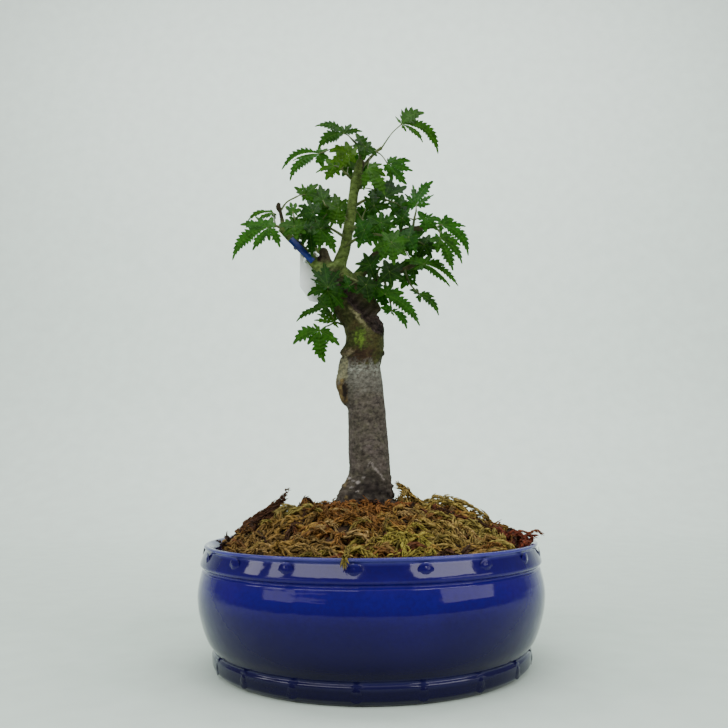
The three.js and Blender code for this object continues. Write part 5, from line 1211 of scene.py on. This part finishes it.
# Mottled in patches about 4 mm wide
mottle = add(tree, "TexNoise", Vector=place, Scale=260.0, Detail=4.0, Roughness=0.6)[0]
patches = add(tree, "ValToRGB", stops=[(0.3, "#b4b4b4"), (0.7, "#ffffff")], Fac=mottle)[0]
blade = add(tree, "Mix", MULTIPLIED, _0=1.0, _6=green, _7=patches)[2]
veined = add(tree, "Mix", BLENDED, _0=veins, _6=blade, _7="#5f7f30")[2]
quilted = add(tree, "Math", {"operation": "MULTIPLY_ADD"}, _0=ribs, _1=-0.04, _2=mottle)[0]
puckers = add(tree, "Bump", Strength=0.45, Distance=0.0004, Height=quilted)[0]
feed(tree, shader, Base_Color=veined, Normal=puckers)
lit = add(tree, "Mix", MULTIPLIED, _0=1.0, _6=veined, _7="#e8ff8c")[2]
glow = add(tree, "BsdfTranslucent", Color=lit)[0]
thin_leaf = add(tree, "MixShader", _0=0.32, _1=shader.outputs[0], _2=glow)[0]
feed(tree, tree.nodes["Material Output"], Surface=thin_leaf)
# Green shoots and petioles: smooth young bark, a little waxy, in greens that change about every 4 mm
young_bark, tree, shader, place = finish_of("green_maple_shoot", Roughness=0.6, Specular_IOR_Level=0.3)
changes = add(tree, "TexNoise", Vector=place, Scale=240.0, Detail=3.0)[0]
shoot_green = add(tree, "ValToRGB", stops=[
    (0.3, "#333f16"), (0.55, "#465223"), (0.75, "#5c6634"),
], Fac=changes)[0]
feed(tree, shader, Base_Color=shoot_green)

SHOOT_SIDES, STALK_SIDES = 12, 8
STALK_RADII = (0.45, 0.27, 0.34)         # at the shoot, in the middle and at the leaf
STALK_ARCH = 0.07                        # how far a petiole's middle stands up, against its length
BLADE, SHOOT = 0, 1                      # slots of the two materials
ON_SHOOT = {"across": 0.0, "along": 0.0, "tint": (1.0, 1.0, 1.0, 1.0)}
chance = np.random.default_rng(11)
for name, (shade, shoot, leaves) in SPRAYS.items():
    stations = np.array([[*at(x, z, depth), radius] for x, z, depth, radius in shoot])
    slim = stations * np.array([1, 1, 1, SHOOT_SLIM])
    # Parts as ((points, faces), slot, values of its attributes)
    parts = [(tube(smooth_line(slim, 5), SHOOT_SIDES), SHOOT, ON_SHOOT)]
    for joint, lean, lobes, *station in leaves:
        base = at(*joint)
        nearest = min(stations[:, :3], key=lambda point: np.linalg.norm(point - base))
        begin = stations[station[0], :3] if station else nearest
        reach = np.linalg.norm(base - begin)
        if reach > 1:
            middle = (begin + base) / 2 + np.array([0, 0, STALK_ARCH * reach])
            stalk = [[*spot, radius] for spot, radius in zip((begin, middle, base), STALK_RADII)]
            parts.append((tube(smooth_line(stalk, 7), STALK_SIDES), SHOOT, ON_SHOOT))
        points, faces, across, along = leaf(joint, lean, -1 if name.startswith("spray_back") else 1, lobes)
        tint = np.array(linear(LEAF_GREENS[shade])) * (0.72 + 0.6 * chance.random())
        tint[0] *= 0.8 + 0.5 * chance.random()
        tint[3] = 1
        parts.append(((points, faces), BLADE, {"across": across, "along": along, "tint": tint}))
    points, faces = gathered([made for made, *_ in parts])
    slots = [slot for (_, sides), slot, _ in parts for _ in sides]
    attributes = {}
    for key, shape in (("across", ()), ("along", ()), ("tint", (4,))):
        rows = [np.full((len(some), *shape), values[key]) for (some, _), _, values in parts]
        attributes[key] = np.concatenate(rows)
    made = piece(name.replace("spray", "leaves"), points, faces, [maple_leaf, young_bark], attributes, slots)
    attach(made, "root")
    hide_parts(name)

# Name tag: a strip of blue plastic wrapped round the left branch and down along it, and a pale plastic plate
# with a cut corner that hangs behind the branch from a ring. Both are cut from sheet, and bare.
SHEET = 0.7              # thickness of the strip and the plate
SOFT_EDGE = 0.18
COLLAR_SIDES = 40


def collar(centre, direction, half_length, inner, wall):
    """Points and faces of a plastic collar round a branch."""
    direction = np.array(direction) / np.linalg.norm(direction)
    side = np.cross(direction, (0, 1.0, 0))
    side /= np.linalg.norm(side)
    other = np.cross(direction, side)
    outer, end, soft = inner + wall, half_length, SOFT_EDGE
    profile = [(inner, -end + soft), (inner + soft, -end), (outer - soft, -end), (outer, -end + soft),
               (outer, end - soft), (outer - soft, end), (inner + soft, end), (inner, end - soft)]
    points = []
    for s in range(COLLAR_SIDES):
        turn = 2 * math.pi * s / COLLAR_SIDES
        out = math.cos(turn) * side + math.sin(turn) * other
        points += [np.array(centre) + radius * out + height * direction for radius, height in profile]
    return np.array(points), grid(COLLAR_SIDES, len(profile), loop=True, flip=True)


def sheet_of(outline):
    """Points and faces of a flat sheet with these corners on its middle plane and softened edges."""
    outline = np.array(outline, dtype=float)
    normal = np.cross(outline[1] - outline[0], outline[2] - outline[1])
    normal /= np.linalg.norm(normal)
    inward = outline.mean(axis=0) - outline
    inward /= np.linalg.norm(inward, axis=1)[:, None]
    face, edge = SHEET / 2, SHEET / 2 - SOFT_EDGE
    levels = ((-face, SOFT_EDGE), (-edge, 0), (edge, 0), (face, SOFT_EDGE))
    loops = [outline + inward * inset + normal * height for height, inset in levels]
    count = len(outline)
    faces = [tuple(range(count - 1, -1, -1)), tuple(range(3 * count, 4 * count))]
    return np.vstack(loops), faces + grid(len(levels), count)


# Polyethylene strip, dyed blue, bent cold: soft gloss with fine scratches about 2 mm long
blue_strip, tree, shader, place = finish_of(
    "blue_polyethylene_strip", Roughness=0.45, Specular_IOR_Level=0.25)
scratches = add(tree, "TexNoise", Vector=place, Scale=500.0, Detail=4.0)[0]
blue = add(tree, "ValToRGB", stops=[(0.3, "#061850"), (0.55, "#081f60"), (0.8, "#102c70")], Fac=scratches)[0]
feed(tree, shader, Base_Color=blue)
half_width = np.array([0.7, 0, 0.71]) * 1.45
top_end, low_end = np.array([-36.1, -2.2, 190.0]), np.array([-25.4, -5, 178.2])
points, faces = gathered([
    collar((-33, 1.5, 188), (-0.7, 0.02, 0.71), 0.5, 2.3, 0.25),
    sheet_of([top_end + half_width, top_end - half_width, low_end - half_width, low_end + half_width]),
])
blue_tag = piece("blue_tag_strip", points, faces, [blue_strip])
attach(blue_tag, "root")
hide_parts("tag_band")

# Polystyrene sheet, rolled off white and weathered since: matt, with grey stains about 8 mm wide
pale_plate, tree, shader, place = finish_of("off_white_polystyrene", Roughness=0.5, Subsurface_Weight=0.05)
stains = add(tree, "TexNoise", Vector=place, Scale=125.0, Detail=5.0)[0]
white = add(tree, "ValToRGB", stops=[(0.3, "#d6dcd8"), (0.55, "#e6ece8"), (0.8, "#f2f6f2")], Fac=stains)[0]
feed(tree, shader, Base_Color=white)
# Corners as x, z, depth, as in the table of the sprays
PLATE_CORNERS = [(-31.9, 184.6, 4.6), (-31.9, 167.8, 4.6), (-29.9, 164.8, 5), (-27.5, 160.9, 5.4),
                 (-24.7, 159.9, 6), (-22.2, 160.3, 6.5), (-22.2, 181.5, 6.5), (-25, 184.6, 5.9)]
points, faces = gathered([
    sheet_of([at(*corner) for corner in PLATE_CORNERS]),
    collar((-27.4, 0.95, 182), (-5.5, 0.8, 6.2), 0.7, 3.1, 0.5),
])
pale_tag = piece("pale_tag_plate", points, faces, [pale_plate])
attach(pale_tag, "root")
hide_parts("tag_plate")

# Studio: a pale seamless paper sweep, a large soft light above and in front, soft boxes like windows on both
# sides, low ones that the pot reflects, a glow on the paper behind, and an even grey world. The camera stands
# where the photograph was taken.
# Matt paper, rolled smooth: it scatters light evenly and has almost no shine
paper, tree, shader, place = finish_of("matt_paper_sweep", Roughness=0.95, Specular_IOR_Level=0.1)
# Painted light: lighter up the back than on the floor, in a slow gradient 600 mm long
behind = add(tree, "SeparateXYZ", Vector=place)["Y"]
painted_light_upwards = add(tree, "MapRange", Value=behind, From_Min=0.1, From_Max=0.7)[0]
pale = add(tree, "ValToRGB", stops=[(0.0, "#bccac0"), (1.0, "#e4f1e8")], Fac=painted_light_upwards)[0]
# Fibres in clouds about 17 mm wide
fibres = add(tree, "TexNoise", Vector=place, Scale=60.0, Detail=4.0)[0]
pressed = add(tree, "ValToRGB", stops=[(0.3, "#f8f8f8"), (0.7, "#ffffff")], Fac=fibres)[0]
mottled = add(tree, "Mix", MULTIPLIED, _0=1.0, _6=pale, _7=pressed)[2]
feed(tree, shader, Base_Color=mottled)
# The sweep's line as (y, z), and how far it runs to each side
SWEEP = [(-900, 0), (0, 0), (420, 0), (560, 22), (680, 110), (740, 300), (750, 900), (750, 1500)]
SWEEP_REACH = 1400
sweep = smooth_line(SWEEP, 6)
points = [(x, y, z) for y, z in sweep for x in (-SWEEP_REACH, SWEEP_REACH)]
backdrop = piece("paper_sweep", points, grid(len(sweep), 2, around=False), [paper])

# Soft boxes: name, place, what they point at, width, height, watts
LAMPS = [
    ("overhead", (0, -160, 850), (0, 0, 120), 1100, 900, 4.2),
    ("left_side_window", (-590, -109, 309), (0, 0, 60), 126, 206, 0.65),
    ("left_side_pane", (-531, -280, 309), (0, 0, 60), 121, 206, 0.63),
    ("left_front_window", (-327, -562, 432), (0, 0, 60), 538, 200, 2.8),
    ("left_low_window", (-537, -342, 170), (0, 0, 40), 236, 57, 0.12),
    ("left_low_streak", (-382, -507, 181), (0, 0, 40), 224, 23, 0.03),
    ("right_front_window", (488, -429, 389), (0, 0, 60), 517, 230, 3.6),
    ("right_low_window", (556, -315, 158), (0, 0, 40), 428, 102, 0.49),
    ("backdrop_glow", (0, 150, 900), (0, 700, 250), 1400, 300, 9.0),
]
for name, spot, aim, width, height, power in LAMPS:
    light = bpy.data.lights.new(name, "AREA")
    light.shape = "RECTANGLE"
    light.size, light.size_y, light.energy = width * MM, height * MM, power
    lamp = bpy.data.objects.new(name, light)
    lamp.location = Vector(spot) * MM
    lamp.rotation_euler = (Vector(aim) - Vector(spot)).to_track_quat("-Z", "Y").to_euler()
    bpy.context.collection.objects.link(lamp)
world = bpy.data.worlds.new("even_studio")
world.use_nodes = True
world.node_tree.nodes["Background"].inputs["Color"].default_value = linear("#e8ebef")
world.node_tree.nodes["Background"].inputs["Strength"].default_value = 0.3
bpy.context.scene.world = world

CAMERA_PLACE = (-2.14, -338.0, 80.56)
CAMERA_TILT, CAMERA_ROLL = math.radians(98.41), math.radians(-0.56)
camera_data = bpy.data.cameras.new("camera")
camera_data.sensor_width = 36
camera_data.lens = 36.59
camera_data.clip_start = 0.01
camera = bpy.data.objects.new("camera", camera_data)
camera.matrix_world = (Matrix.Translation(Vector(CAMERA_PLACE) * MM) @ Matrix.Rotation(CAMERA_TILT, 4, "X")
                       @ Matrix.Rotation(CAMERA_ROLL, 4, "Z"))
bpy.context.collection.objects.link(camera)
bpy.context.scene.camera = camera
